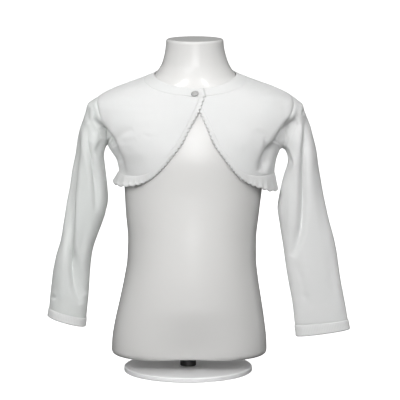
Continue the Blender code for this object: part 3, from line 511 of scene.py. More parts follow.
def body_cloth(turn, height, lapped=False, seams=()):
    """Points in the middle of the body cloth with its creases, and directions out."""
    plain = body_middle(turn, height)
    normals = body_normal(turn, height)
    push = creased(plain, normals, "body") + uneven(plain)
    if lapped:
        push = push + lap_rise(turn, height)
    if seams:
        push = push + seam_dip(plain, seams)
    return plain + normals * push[..., None] + filled(plain, normals, "body"), normals


# ---------------------------------------------------------------- places on panels

def edge_place(along, side):
    """Turns and heights of a front's edging seam, from the neck (0) to the side (1)."""
    along = np.asarray(along, float)
    turns = [float(turn_at(getattr(row, side), row.height)) for row in EDGE_ROWS]
    turns[-1] = side_turn(side)
    return curve([row.along for row in EDGE_ROWS], turns, along), read(EDGE_ROWS, "height", along)


def neck_place(share, side):
    """Turns and heights of the neckline seam, from a front's edge (0) to its shoulder."""
    start = edge_place(0.0, side)[0]
    turn = start + (side_turn(side) - start) * np.asarray(share, float)
    return turn, read(NECK_ROWS, "seam", np.abs(np.degrees(turn)))


def from_front(turn):
    """How many degrees turns lie from the middle of the front."""
    return np.abs((np.degrees(turn) + 180) % 360 - 180)


def back_turn(share):
    """Turns across the back, from the right side seam to the left one."""
    return np.radians(-90 - 180 * np.asarray(share, float))


def back_neck_place(share):
    """Turns and heights of the back's neckline seam, from the right shoulder."""
    turn = back_turn(share)
    return turn, read(NECK_ROWS, "seam", from_front(turn))


def hem_place(share):
    """Turns and heights of the back's hem seam."""
    turn = back_turn(share)
    return turn, read(HEM_ROWS, "height", from_front(turn))


def joined(*places):
    """Rows of places, one after another, as one pair of turns and heights."""
    return tuple(np.concatenate(column) for column in zip(*places))


def shortened(place, start=1, end=None):
    """A row of places from start to end, without its first one unless start says so."""
    return tuple(column[start:end] for column in place)


def armhole_round(count, side):
    """Turns and heights all round an armhole, from its shoulder point and back to it."""
    return joined(armhole_place(steps(count), side, 1),
                  shortened(armhole_place(1 - steps(count), side, -1)))


def shoulder_place(side, shares):
    """Turns and heights of a shoulder seam, from the neck (0) to the armhole (1)."""
    neck_side = float(read(NECK_ROWS, "seam", 90.0))
    height = neck_side + (ARMHOLE_TOP - neck_side) * shares
    return np.full(len(height), side_turn(side)), height


def section_share(spots):
    """Places in level sections: across, ahead, and 1 in all on the cloth."""
    x, y, z = np.moveaxis(spots, -1, 0)
    across = x - read(BODY_ROWS, "shift", z)
    reach = pick(across > 0, BODY_ROWS, "left right", z)
    depth = pick(y < 0, BODY_ROWS, "front back", z)
    power = read(BODY_ROWS, "fullness", z) / 2
    side = np.sign(across) * (np.abs(across) / reach) ** power
    front = -np.sign(y) * (np.abs(y) / depth) ** power
    return side, front, np.hypot(side, front)


def place_of(spots):
    """Turns and heights where ways out from spots meet the cloth.

    The way out is level beside the chest and upward under the shoulders.
    """
    x, y, z = np.moveaxis(spots, -1, 0)
    lift = ramp(z, LEVEL_WAY_BELOW, UPWARD_WAY_ABOVE)[..., None]
    reach = read(BODY_ROWS, "right", z)
    depth = read(BODY_ROWS, "front", z)
    level = np.stack([(x - SHOULDER_CENTRE) / reach ** 2, y / depth ** 2, 0 * z], axis=-1)
    way = unit(level) * (1 - lift) + UPWARD * lift
    near = np.full(z.shape, -WAY_SPAN)
    far = np.full(z.shape, WAY_SPAN)
    for _ in range(HALVINGS):
        middle = (near + far) / 2
        inside = section_share(spots + way * middle[..., None])[2] < 1
        near = np.where(inside, middle, near)
        far = np.where(inside, far, middle)
    met = spots + way * near[..., None]
    side, front, _ = section_share(met)
    return np.arctan2(side, front), met[..., 2]


def place_behind(spots):
    """Turns and heights of the cloth straight behind spots."""
    across = spots[..., 0] - read(BODY_ROWS, "shift", spots[..., 2])
    return math.pi - turn_at(across, spots[..., 2]), spots[..., 2]


def patch(south, north, west, east, place=place_of):
    """Turns and heights over a four-sided panel, worked out from its four edges.

    south and north run the same way; west and east run from south to north.
    """
    low, high, first, last = (body_middle(*edge) for edge in (south, north, west, east))
    v = steps(len(first) - 1)[:, None, None]
    u = steps(len(low) - 1)[None, :, None]
    sides = low * (1 - v) + high * v + first[:, None] * (1 - u) + last[:, None] * u
    corners = (low[0] * (1 - u) + low[-1] * u) * (1 - v)
    corners = corners + (high[0] * (1 - u) + high[-1] * u) * v
    found = place(sides - corners)
    for column, edges in zip(found, zip(south, north, west, east)):
        column[0], column[-1], column[:, 0], column[:, -1] = edges
    return found


def front_places(side):
    """Turns and heights over one front."""
    north = joined(shoulder_place(side, steps(SHOULDER_STEPS)),
                   shortened(armhole_place(steps(HALF_ARMHOLE), side, 1)))
    south = edge_place(steps(len(north[0]) - 1), side)
    west = neck_place(steps(PANEL_ROWS), side)
    rise = south[1][-1] + (UNDERARM[side] - south[1][-1]) * steps(PANEL_ROWS)
    east = (np.full(len(rise), side_turn(side)), rise)
    return patch(south, north, west, east)


def back_places():
    """Turns and heights over the back, from its hem seam to its neckline."""
    right = shoulder_place("right", 1 - steps(SHOULDER_STEPS))
    left = shoulder_place("left", steps(SHOULDER_STEPS))
    neck = back_neck_place(steps(BACK_NECK_STEPS)[1:-1])
    count = len(right[1]) + len(neck[1]) + len(left[1]) - 1
    north = (back_turn(0) + 0 * right[1], right[1])
    north = joined(north, neck, (back_turn(1) + 0 * left[1], left[1]))
    shares = steps(count)
    fall = UNDERARM["left"] - UNDERARM["right"]
    middle = (back_turn(shares), UNDERARM["right"] + fall * shares)
    south = hem_place(shares)
    sides = []
    for end in (0, -1):
        rise = south[1][end] + (middle[1][end] - south[1][end]) * steps(SIDE_SEAM_ROWS)
        sides.append((np.full(len(rise), south[0][end]), rise))
    low = patch(south, middle, *sides)
    armholes = []
    for side, whole_turn in (("right", 0.0), ("left", -2 * math.pi)):
        turn, height = armhole_place(1 - steps(HALF_ARMHOLE), side, -1)
        armholes.append((turn + whole_turn, height))
    high = patch(middle, north, *armholes, place=place_behind)
    high = (np.where(high[0] > 0, high[0] - 2 * math.pi, high[0]), high[1])
    return joined(low, shortened(high))


# ---------------------------------------------------------------- shells

WALE_SPOTS = 20             # spots along each way whose length is taken
RIM_ROUND = 0.38            # a rim stands out this share of the thickness


def grid_normals(spots, closed, out):
    """Directions at right angles to a grid of points, on the side that out is on."""
    down = np.gradient(spots, axis=0)
    if closed:
        across = np.roll(spots, -1, axis=1) - np.roll(spots, 1, axis=1)
    else:
        across = np.gradient(spots, axis=1)
    found = unit(np.cross(across, down))
    return -found if (found * out).sum() < 0 else found


def ring_closed(grid):
    """A grid with its first column once more after its last."""
    return np.concatenate([grid, grid[:, :1]], axis=1)


def numbered(rows, columns, closed=False):
    """The numbers of a grid's points, row by row."""
    numbers = np.arange(rows * columns).reshape(rows, columns)
    return ring_closed(numbers) if closed else numbers


def arc_places(spots, closed):
    """The cloth's own flat places: how far along each row and up each column, in metres."""
    if closed:
        spots = ring_closed(spots)
    across = lengths_of(np.diff(spots, axis=1))[..., 0]
    up = lengths_of(np.diff(spots, axis=0))[..., 0].mean(axis=1)
    u = np.concatenate([np.zeros((len(spots), 1)), np.cumsum(across, axis=1)], axis=1)
    v = np.concatenate([[0.0], np.cumsum(up)])
    return np.stack([u, np.broadcast_to(v[:, None], u.shape)], axis=-1) * MM


def wale_places(turn, height, start):
    """A body panel's flat places: wales run up it, courses go round it, in metres."""
    shares = steps(WALE_SPOTS - 1)
    side = np.sign(turn - start)
    turn, height = turn[..., None], height[..., None]
    foot = HEM_ROWS[0].height
    round_it = body_middle(start + (turn - start) * shares, height)
    up_it = body_middle(turn, foot + (height - foot) * shares)
    u, v = (lengths_of(np.diff(way, axis=-2)).sum((-1, -2)) for way in (round_it, up_it))
    return np.stack([u * side, v], axis=-1) * MM


def quads(numbers):
    """Corners of the squares between the rows of a grid of numbers."""
    return np.stack([numbers[:-1, :-1], numbers[:-1, 1:], numbers[1:, 1:], numbers[1:, :-1]],
                    axis=-1).reshape(-1, 4)


def way_round(rows, columns, closed):
    """The loops of grid spots along a sheet's edges: one, or two on a tube."""
    if closed:
        return [[(row, column) for column in range(columns + 1)] for row in (0, rows - 1)]
    loop = [(0, column) for column in range(columns - 1)]
    loop += [(row, columns - 1) for row in range(rows - 1)]
    loop += [(rows - 1, column) for column in range(columns - 1, 0, -1)]
    loop += [(row, 0) for row in range(rows - 1, 0, -1)]
    return [loop + loop[:1]]


def add_object(name, data):
    """A new object of the scene."""
    made = bpy.data.objects.new(name, data)
    bpy.context.scene.collection.objects.link(made)
    return made


def mesh_piece(name, spots, faces, surface, flat=None):
    """A smooth object from points in millimetres; flat is the UV place of each corner."""
    data = bpy.data.meshes.new(name)
    data.from_pydata(spots * MM, [], faces)
    if flat is not None:
        layer = data.uv_layers.new(name="cloth")
        layer.data.foreach_set("uv", flat.reshape(-1))
    turned_right = bmesh.new()
    turned_right.from_mesh(data)
    bmesh.ops.recalc_face_normals(turned_right, faces=turned_right.faces)
    turned_right.to_mesh(data)
    turned_right.free()
    data.shade_smooth()
    data.materials.append(surface)
    return add_object(name, data)


def rim_way(spots, row, column, closed):
    """The way out over the edge of a sheet, at one of its outermost spots."""
    rows, columns = spots.shape[:2]
    push = np.zeros(3)
    if row in (0, rows - 1):
        push += unit(spots[row, column] - spots[1 if row == 0 else -2, column])
    if not closed and column in (0, columns - 1):
        push += unit(spots[row, column] - spots[row, 1 if column == 0 else -2])
    return unit(push)


def shell(name, spots, flat, thickness, surface, out, closed=False, normals=None):
    """A thin wall on both sides of a grid of points, with rounded rims."""
    rows, columns = spots.shape[:2]
    thickness = np.broadcast_to(thickness, (rows, columns))
    found = grid_normals(spots, closed, out)
    if normals is not None:
        found = normals(found)
    half = found * thickness[..., None] / 2
    numbers = numbered(rows, columns, closed)
    places = numbered(*flat.shape[:2])
    points = [(spots + half).reshape(-1, 3), (spots - half).reshape(-1, 3)]
    faces = [quads(numbers), quads(numbers)[:, ::-1] + rows * columns]
    corners = [quads(places), quads(places)[:, ::-1]]
    base = 2 * rows * columns
    for loop in way_round(rows, columns, closed):
        away = [rim_way(spots, *spot, closed) * thickness[spot] for spot in loop[:-1]]
        rim = np.array([spots[spot] for spot in loop[:-1]]) + np.array(away) * RIM_ROUND
        points.append(rim)
        rim_ids = np.append(np.arange(len(rim)), 0) + base
        top_ids = np.array([numbers[spot] for spot in loop])
        uv_ids = np.array([places[spot] for spot in loop])
        for first, second in ((top_ids, rim_ids), (rim_ids, top_ids + rows * columns)):
            faces.append(quads(np.stack([first, second])))
            corners.append(quads(np.stack([uv_ids, uv_ids])))
        base += len(rim)
    return mesh_piece(name, np.concatenate(points), np.concatenate(faces).tolist(), surface,
                      flat.reshape(-1, 2)[np.concatenate(corners)])


# ---------------------------------------------------------------- seams

SEAM_STEPS = {"armhole": 90, "shoulder": 40, "side": 24, "edge": 160, "neck": 80, "hem": 140}


def seam_lines():
    """The ways of all seams on the body cloth, before creases, by name."""
    at = {kind: steps(count) for kind, count in SEAM_STEPS.items()}
    lines = {"back_neck": back_neck_place(at["neck"]), "back_hem": hem_place(at["hem"])}
    foot = HEM_ROWS[0].height
    for side in ("right", "left"):
        rise = foot + (UNDERARM[side] - foot) * at["side"]
        lines[side + "_armhole"] = armhole_round(SEAM_STEPS["armhole"], side)
        lines[side + "_shoulder"] = shoulder_place(side, at["shoulder"])
        lines[side + "_side"] = (np.full(len(rise), side_turn(side)), rise)
        lines[side + "_edge"] = edge_place(at["edge"], side)
        lines[side + "_neck"] = neck_place(at["neck"], side)
    return lines


def near_seams(*names):
    """The ways of the named seams, as points."""
    lines = seam_lines()
    return [body_middle(*lines[name]) for name in names]


# ---------------------------------------------------------------- body pieces

def form_tree():
    """The torso form's surface, for finding what lies near it."""
    rings = form_rings()
    faces = quads(numbered(*rings.shape[:2], closed=True))
    return BVHTree.FromPolygons(rings.reshape(-1, 3).tolist(), faces.tolist())


def kept_off(spots, tree):
    """Spots moved so that the cloth's middle keeps its least distance from the form."""
    moved = spots.reshape(-1, 3).copy()
    soft_from = FORM_LEAST + FORM_SOFT
    for index, spot in enumerate(moved):
        spot = Vector(spot)
        near, normal = tree.find_nearest(spot, FORM_REACH)[:2]
        if near is None:
            continue
        if normal.dot(near - Vector((SHOULDER_CENTRE, 0.0, near.z))) < 0:
            normal = -normal
        depth = (spot - near).dot(normal)
        if depth < soft_from:
            wanted = FORM_LEAST + FORM_SOFT * math.exp((depth - soft_from) / FORM_SOFT)
            moved[index] = spot + normal * (wanted - depth)
    return moved.reshape(spots.shape)


def panel(name, places, seams, shift, start, surface, form, lapped=False):
    """A panel of the body, kept off the form; its wales are counted from a start turn."""
    spots, out = body_cloth(*places, lapped, near_seams(*seams))
    spots = kept_off(spots + shift, form)
    return shell(name, spots, wale_places(*places, start), WALL, surface, out)


def make_front(side, surface, form):
    """One front, from the neckline and shoulder down to its curved-away edge."""
    seams = [side + kind for kind in ("_armhole", "_shoulder", "_side", "_edge", "_neck")]
    return panel(side + "_front_knit", front_places(side), seams, FRONT_SHIFT, 0.0, surface,
                 form, side == "right")


def make_back(surface, form):
    """The back, in one piece from the hem seam to the shoulders."""
    seams = [side + kind for kind in ("_armhole", "_shoulder", "_side")
             for side in ("right", "left")]
    return panel("back_knit", back_places(), seams + ["back_neck", "back_hem"], BACK_SHIFT,
                 -math.pi, surface, form)


# ---------------------------------------------------------------- bands

FRONT_SCALLOPS = 30         # along each front
BACK_SCALLOPS = 36
SCALLOP_POINTS = 16         # points along one scallop
SCALLOP_DEPTH = 2.4
SCALLOP_FULLNESS = 0.8      # below 1 a scallop is fuller than a half wave
EDGING_POINTS = 11          # points across an edging
FLARE_BEND = 0.9            # below 1 a flare starts nearer the seam
CRIMP = 0.55                # a flared band crimps at its scallops
CRIMP_FLARE = 3.0           # and is at its fullest where it flares this much
BEAD_AT = 0.88              # the cord-like bead along the free edge
BEAD_WIDTH = 0.11
BEAD_RISE = 0.7
NARROW_BEAD = 0.1
EDGE_TUCK = 1.0             # a band without a flare leans in at its free edge,
PICOT_TUCK = 0.6            # and more so at the tips of its scallops,
TUCK_BELOW = (352.0, 370.0)  # but not where it lies on the other front
RIBS = 3                    # ribs that fan out over one scallop
RIB_RISE = 0.16
EDGE_DIP = 0.9              # a full band thins by this much at its seam,
EDGE_DIP_WIDTH = 0.14       # over this share of its width

NECKBAND_POINTS = 13
NECKBAND_RUN_ON = 3.4       # each end runs on over its edging by these degrees,
RUN_ON_BEND = 8             # most of them at the end itself
NECKBAND_LEAN = 2.4         # its free edge leans in by this much at the sides,
LEAN_BEND = 1.3             # above 1 more of it near that edge
NECKBAND_ROLL = 0.3
NECKBAND_DIP = 0.3
ROLL_AT = 0.9               # a turned band rolls here, as a share of its width,
ROLL_WIDTH = 0.16
BAND_DIP_WIDTH = 0.12       # and thins over this share beside its seam


def scallops(count, points):
    """How far scallops reach at places along an edge, from 0 to 1, and their phases."""
    phase = steps(count * points) * count % 1.0
    return np.sin(np.pi * phase) ** SCALLOP_FULLNESS, phase


def edging(name, places, width, flare, count, shift, surface, lapped=False):
    """A band sewn along an edge, with a beaded, scalloped free edge and a flare.

    places run along the edge with the panel on their left, seen from outside.
    """
    turn, height = places
    mids, out = body_cloth(turn, height, lapped)
    run = np.gradient(mids, axis=0)
    # at a side seam the edge runs straight back, so that the bands end in one plane
    run[np.abs(np.cos(turn)) < AT_SIDE] *= BACKWARD
    away = unit(np.cross(run, out))
    scallop, phase = scallops(count, SCALLOP_POINTS)
    fullness = np.minimum(1.0, flare / CRIMP_FLARE)[:, None]
    full = (width + SCALLOP_DEPTH * scallop)[:, None, None]
    share = steps(EDGING_POINTS - 1)[None, :, None]
    reach = SEAM + (full - SEAM) * share
    crimp = CRIMP * fullness[:, 0] * np.cos(2 * np.pi * phase)
    tuck = (1 - fullness[:, 0]) * (EDGE_TUCK + PICOT_TUCK * scallop)
    if lapped:
        tuck = tuck * (1 - ramp(height, *TUCK_BELOW))
    stand = flare[:, None, None] * share ** FLARE_BEND
    stand = stand + (crimp - tuck)[:, None, None] * share ** 2
    spots = mids[:, None] + away[:, None] * reach + out[:, None] * stand + shift
    slope = (flare / width)[:, None, None] * np.minimum(1.0, 2 * share)
    lean = out[:, None] - away[:, None] * slope
    share = share[..., 0]
    bead = hump(share, BEAD_AT, BEAD_WIDTH)
    ribs = np.cos(2 * np.pi * RIBS * phase)[:, None] * share ** 0.5
    dip = EDGE_DIP * hump(share, 0.0, EDGE_DIP_WIDTH)
    full_band = BAND_WALL + BEAD_RISE * bead + RIB_RISE * ribs - dip
    narrow_band = WALL + NARROW_BEAD * bead
    thickness = narrow_band + (full_band - narrow_band) * fullness
    return shell(name, spots, arc_places(spots, False), thickness, surface, lean,
                 normals=lambda found: unit(lean))


def make_front_edging(side, surface):
    """The scalloped edging down one front, with its flare at the side."""
    along = steps(FRONT_SCALLOPS * SCALLOP_POINTS)
    if side == "right":
        along = along[::-1]
    width, flare = (read(EDGE_ROWS, side + kind, along) for kind in ("_width", "_flare"))
    return edging(side + "_edging_knit", edge_place(along, side), width, flare,
                  FRONT_SCALLOPS, FRONT_SHIFT, surface, side == "right")


def make_hem_band(surface):
    """The scalloped band along the back's hem."""
    turn, height = hem_place(1 - steps(BACK_SCALLOPS * SCALLOP_POINTS))
    width, flare = (pick(np.sin(turn) > 0, HEM_ROWS, f"left_{kind} right_{kind}",
                         from_front(turn)) for kind in ("width", "flare"))
    return edging("back_hem_band_knit", (turn, height), width, flare, BACK_SCALLOPS,
                  BACK_SHIFT, surface)


def rolled(share, roll, dip):
    """The thickness of a turned band, with a roll near its free edge, a dip at its seam."""
    rise = roll * hump(share, ROLL_AT, ROLL_WIDTH)
    return BAND_WALL + rise - dip * hump(share, 0.0, BAND_DIP_WIDTH)


def make_neckband(surface):
    """The doubled band round the neck, whose right end laps over its left end."""
    shares = steps(PANEL_ROWS)
    right = neck_place(shares, "right")
    left = neck_place(1 - shares, "left")
    back = back_neck_place(steps(BACK_NECK_STEPS)[1:-1])
    run_on = math.radians(NECKBAND_RUN_ON)
    right = (right[0] + run_on * (1 - shares) ** RUN_ON_BEND, right[1])
    left = (left[0] - run_on * shares ** RUN_ON_BEND, left[1])
    turn, seam = joined(right, back, left)
    lapped = (np.arange(len(turn)) < len(right[0])).astype(float)
    edge = read(NECK_ROWS, "edge", from_front(turn))
    share = steps(NECKBAND_POINTS - 1)
    height = seam[:, None] + SEAM + (edge - seam - SEAM)[:, None] * share
    turns = np.broadcast_to(turn[:, None], height.shape)
    spots, out = body_cloth(turns, height)
    spots = spots + out * (lap_rise(turns, height) * lapped[:, None])[..., None]
    lean = NECKBAND_LEAN * np.sin(turns) ** 2 * share ** LEAN_BEND
    spots = spots - lean[..., None] * unit(spots * LEVEL)
    thickness = rolled(share, NECKBAND_ROLL, NECKBAND_DIP)
    return shell("neckband_knit", spots, arc_places(spots, False), thickness, surface, out)


# ---------------------------------------------------------------- sleeves

SLEEVE_RINGS = 210
HEAD_RINGS = 16             # rings of the sleeve head, from the armhole outwards
HEAD_SPRING = 0.8           # how far the head leaves the armhole in the cloth's way
SLEEVE_FULLNESS = 2.15

# Measures down a sleeve from its armhole, in lengths of its head.
HEAD_TURN = 0.9             # from here on the cloth's way out is wholly its own
BODY_CREASES = (1.2, 2.6)   # the sleeve's creases are whole, and the body's have run out
FILL_FROM = 0.2             # the sleeve's fills are whole
NEAR_FORM = 3               # down to here the cloth is kept off the form

END_DIP_RINGS = 1.2         # width of the dip at the cuff's seam, in rings
CUFF_RINGS = 12
CUFF_SWELL = 0.7
CUFF_ROLL = 0.4
CUFF_DIP = 0.9


def hanging_rings(side, at, swell=0.0, rows=None):
    """Rings of a hanging sleeve at places between its rows; 0 is the first row."""
    rows = rows or SLEEVE_ROWS[side]
    row = SleeveRow(*(curve(range(len(rows)), column, at)[:, None, None]
                      for column in zip(*rows)))
    sign = 1 if side == "left" else -1
    outer, inner = (np.concatenate([SHOULDER_CENTRE + sign * across, 0 * across, up], axis=-1)
                    for across, up in ((row.outer, row.outer_z), (row.inner, row.inner_z)))
    half = (outer - inner) / 2
    half = half * (1 - (WALL / 2 - swell) / lengths_of(half))
    angle = np.pi * np.arange(2 * HALF_ARMHOLE) / HALF_ARMHOLE
    along, ahead = section_spot(np.pi / 2 - angle, 1.0, 1.0, SLEEVE_FULLNESS)
    along, ahead = along[None, :, None], ahead[None, :, None]
    depth = np.where(ahead < 0, row.front, row.back) - WALL / 2 + swell
    return (outer + inner) / 2 + half * along + depth * ahead * BACKWARD


def cuff_rings(side, at, swell):
    """Rings of a cuff, from the end of its sleeve (0) to its own end (1)."""
    return hanging_rings(side, at, swell, [SLEEVE_ROWS[side][-1], CUFF_ROWS[side]])


def armhole_ring(side):
    """The sleeve's first ring, beside the armhole, before creases, and directions out."""
    turn, height = shortened(armhole_round(HALF_ARMHOLE, side), 0, -1)
    mids = body_middle(turn, height)
    out = body_normal(turn, height)
    run = np.roll(mids, -1, axis=0) - np.roll(mids, 1, axis=0)
    away = unit(np.cross(run, out))
    inward = np.sign((away * (mids.mean(axis=0) - mids)).sum(-1, keepdims=True))
    return mids + away * inward * SEAM, out, away * inward


def sleeve_grid(side):
    """The middle of a sleeve's cloth, before creases, from the armhole to the cuff."""
    first, out, away = armhole_ring(side)
    at = np.linspace(0.0, len(SLEEVE_ROWS[side]) - 1, SLEEVE_RINGS)
    hanging = hanging_rings(side, at)
    leave = (hanging[1] - hanging[0]) / (at[1] - at[0])
    chord = hanging[0] - first
    enter = HEAD_SPRING * lengths_of(chord) * away + (1 - HEAD_SPRING) * chord
    start, end, leaving, arriving = step_shares(steps(HEAD_RINGS)[:-1, None, None])
    head = first * start + enter * leaving + hanging[0] * end + leave * arriving
    return np.concatenate([head, hanging]), out


def make_sleeve(side, surface, form):
    """A sleeve that hangs empty from the armhole to the cuff."""
    spots, first_out = sleeve_grid(side)
    rings = np.arange(len(spots))[:, None]
    down = rings / HEAD_RINGS
    begin = (1 - ramp(down, 0.0, HEAD_TURN))[..., None]

    def settled(found):
        """Directions that begin as those of the body's cloth."""
        return unit(found * (1 - begin) + first_out * begin)

    out = settled(grid_normals(spots, True, spots - spots.mean(axis=1, keepdims=True)))
    push = creased(spots, out, "body") * (1 - ramp(down, *BODY_CREASES))
    push = push + creased(spots, out, side) * ramp(down, 0.0, BODY_CREASES[0])
    push = push + uneven(spots) + seam_dip(spots, near_seams(side + "_armhole"))
    push = push - SEAM_DIP * hump(rings, len(spots) - 1, END_DIP_RINGS)
    fill = filled(spots, out, side) * ramp(down, 0.0, FILL_FROM)[..., None]
    spots = spots + out * push[..., None] + filled(spots, out, "body") + fill
    near = NEAR_FORM * HEAD_RINGS
    spots[:near] = kept_off(spots[:near], form)
    return shell(side + "_sleeve_knit", spots, arc_places(spots, True), WALL, surface, out,
                 closed=True, normals=settled)


def make_cuff(side, surface):
    """The turned band that ends a sleeve."""
    start = SEAM / abs(SLEEVE_ROWS[side][-1].outer_z - CUFF_ROWS[side].outer_z)
    spots = cuff_rings(side, np.linspace(start, 1.0, CUFF_RINGS), CUFF_SWELL)
    out = spots - spots.mean(axis=1, keepdims=True)
    thickness = rolled(steps(CUFF_RINGS - 1)[:, None], CUFF_ROLL, CUFF_DIP)
    spots = spots + unit(out) * uneven(spots)[..., None]
    # on a band, v runs along it and u across it
    flat = arc_places(spots, True)[..., ::-1]
    return shell(side + "_cuff_knit", spots, flat, thickness, surface, out, closed=True)


# ---------------------------------------------------------------- form and stand

FORM_STEPS = 160            # points round the torso form
FORM_ROW_GAP = 2.2          # its rows lie this far apart
CAP_SHARES = (0.97, 0.9, 0.7, 0.35, 0.08)  # rings that close an end, by their size

FormRow = namedtuple("FormRow", "height half_width front back shift fullness")
FORM_ROWS = table(FormRow,
    (24.5, 104.5, 70.1, 74.0, 1.5, 2.1),
    (26.5, 107.6, 73.0, 77.2, 1.5, 2.1),
    (31.0, 109.0, 74.6, 78.6, 1.5, 2.1),
    (46.0, 108.4, 75.6, 79.0, 1.6, 2.1),
    (71.0, 105.1, 76.6, 76.5, 2.2, 2.1),
    (102.0, 99.4, 78.2, 70.5, 3.4, 2.1),
    (133.0, 93.8, 78.4, 62.5, 4.3, 2.1),
    (160.0, 90.4, 77.6, 57.0, 5.1, 2.1),
    (188.0, 89.9, 76.4, 55.6, 5.6, 2.1),
    (223.0, 93.0, 74.6, 60.0, 6.1, 2.15),
    (257.0, 96.0, 74.0, 66.0, 7.2, 2.2),
    (285.0, 98.0, 75.4, 70.5, 8.0, 2.2),
    (304.0, 100.0, 76.0, 72.0, 8.6, 2.2),
    (316.0, 104.0, 75.5, 72.4, 9.0, 2.1),
    (326.0, 108.0, 74.4, 72.5, 9.3, 1.95),
    (336.0, 116.5, 72.8, 72.0, 9.6, 1.9),
    (348.0, 127.0, 70.4, 71.0, 9.8, 1.9),
    (360.0, 134.0, 67.5, 69.2, 10.0, 1.95),
    (372.0, 135.5, 64.0, 66.0, 10.2, 2.1),
    (382.0, 131.0, 60.8, 61.5, 10.3, 2.05),
    (389.0, 125.0, 58.4, 57.8, 10.3, 2.0),
    (394.7, 116.0, 56.2, 54.6, 10.3, 2.0),
    (400.3, 104.2, 53.8, 51.5, 10.3, 2.0),
    (406.0, 87.5, 51.0, 48.6, 10.2, 2.0),
    (411.8, 71.8, 48.2, 46.0, 10.2, 2.0),
    (416.0, 61.2, 45.9, 44.3, 10.2, 2.0),
    (420.0, 56.2, 43.8, 43.0, 10.2, 2.0),
    (425.0, 52.4, 41.6, 41.6, 10.2, 2.0),
    (430.0, 49.2, 40.0, 40.4, 10.2, 2.0),
    (436.0, 46.2, 38.6, 39.3, 10.1, 2.0),
    (448.0, 42.6, 37.2, 38.2, 9.8, 2.0),
    (460.0, 40.4, 36.6, 37.6, 9.5, 2.0),
    (467.5, 39.8, 36.4, 37.4, 9.5, 2.0),
    (469.3, 38.3, 34.9, 35.9, 9.5, 2.0),
)

BASE_RADIUS = 90.0
BASE_HEIGHT = 7.0
BASE_ROUND = 2.0
BASE_CHAMFER = 0.8
STUB_RADIUS = 11.2
STUB_CHAMFER = 0.4
STUB_STEPS = 64
GROOVE_AT = 0.62            # up the stub, as a share of it
GROOVE_DEPTH = 0.5
GROOVE_HALF = 0.5           # half its width at the top,
GROOVE_FLOOR_HALF = 0.2     # and at its floor
FORM_FOOT = 24.5
STUB_CLEARANCE = 0.3
ROUND_STEPS = 128

BUTTON_RADIUS = 5.4
BUTTON_ACROSS = -0.6
BUTTON_AT = 398.6
BUTTON_STEPS = 72
BUTTON_FLAT = 0.72          # it is lower than it is wide
BUTTON_TILT = 14.0
BUTTON_SEAT = 0.4           # its underside above the band
ButtonRow = namedtuple("ButtonRow", "radius_share height")
BUTTON_ROWS = table(ButtonRow,
    (0.70, 0.00),
    (0.88, 0.12),
    (0.96, 0.55),
    (1.00, 1.25),
    (0.985, 1.85),
    (0.93, 2.40),
    (0.85, 2.72),
    (0.77, 2.78),
    (0.70, 2.60),
    (0.63, 2.26),
    (0.56, 2.08),
    (0.40, 1.98),
    (0.20, 1.94),
    (0.04, 1.93),
)

BELLY_IN = 11.0             # the lower belly is drawn in by this much in its middle,
BELLY_WIDTH = 46.0
BELLY_FADE = (4.0, 104.0)   # less and less between these heights,
RIM_RISE = 1.8              # and the form's cut rises there
RIM_FADE = (26.0, 60.0)

SHARP_FROM = math.radians(40)
LEAST_ROWS = 2              # rows between two of the form's table
ORIGIN = (0.0, 0.0, 0.0)


def level_rows(name, rings, surface):
    """A closed object from level rings of points, with fans of rings over its ends."""
    ends = []
    for end in (0, -1):
        middle = rings[end].mean(axis=0)
        ends.append([middle + (rings[end] - middle) * share for share in CAP_SHARES])
    rings = np.array(ends[0][::-1] + list(rings) + ends[1])
    numbers = numbered(*rings.shape[:2], closed=True)
    faces = quads(numbers).tolist()
    faces += [numbers[0, :-1][::-1].tolist(), numbers[-1, :-1].tolist()]
    piece = mesh_piece(name, rings.reshape(-1, 3), faces, surface)
    piece.data.set_sharp_from_angle(angle=SHARP_FROM)
    return piece


def form_rings():
    """Level rings of the smooth limbless torso, from its cut up to the neck."""
    known = [row.height for row in FORM_ROWS]
    heights = []
    for low, high in zip(known, known[1:]):
        count = max(LEAST_ROWS, round((high - low) / FORM_ROW_GAP))
        heights += list(np.linspace(low, high, count + 1)[:-1])
    heights = np.array(heights + [known[-1]])[:, None]
    turn = 2 * np.pi * np.arange(FORM_STEPS)[None] / FORM_STEPS
    in_front = np.cos(turn) > 0
    x, y = section_spot(turn, read(FORM_ROWS, "half_width", heights),
                        pick(in_front, FORM_ROWS, "front back", heights),
                        read(FORM_ROWS, "fullness", heights))
    middle = hump(x, 0.0, BELLY_WIDTH) * in_front
    y = y + BELLY_IN * (1 - ramp(heights, *BELLY_FADE)) * middle
    z = heights + RIM_RISE * middle * (1 - ramp(heights, *RIM_FADE))
    return np.stack([x + read(FORM_ROWS, "shift", heights), y, z], axis=-1)


def make_form(surface):
    """The smooth limbless torso: neck, shoulder stubs, chest, waist and hips."""
    return level_rows("torso_form_shell", form_rings(), surface)


def turned(name, profile, centre, axis, surface, count=ROUND_STEPS, flat=1.0, tilt=0.0):
    """A turned solid: profile holds radius and distance along the axis.

    flat makes it an oval that is lower than it is wide, turned by tilt degrees.
    """
    lie = np.array(Vector(axis).to_track_quat("Z", "Y").to_matrix())
    lean = math.radians(tilt)
    spin = np.array([[math.cos(lean), -math.sin(lean), 0.0],
                     [math.sin(lean), math.cos(lean), 0.0], [0.0, 0.0, 1.0]])
    lie = lie @ spin @ np.diag([1.0, flat, 1.0])
    angle = 2 * np.pi * np.arange(count) / count
    rings = []
    for radius, along in profile:
        ring = np.stack([radius * np.cos(angle), radius * np.sin(angle),
                         np.full(count, along)], axis=-1)
        rings.append(ring @ lie.T + np.array(centre))
    return level_rows(name, np.array(rings), surface)


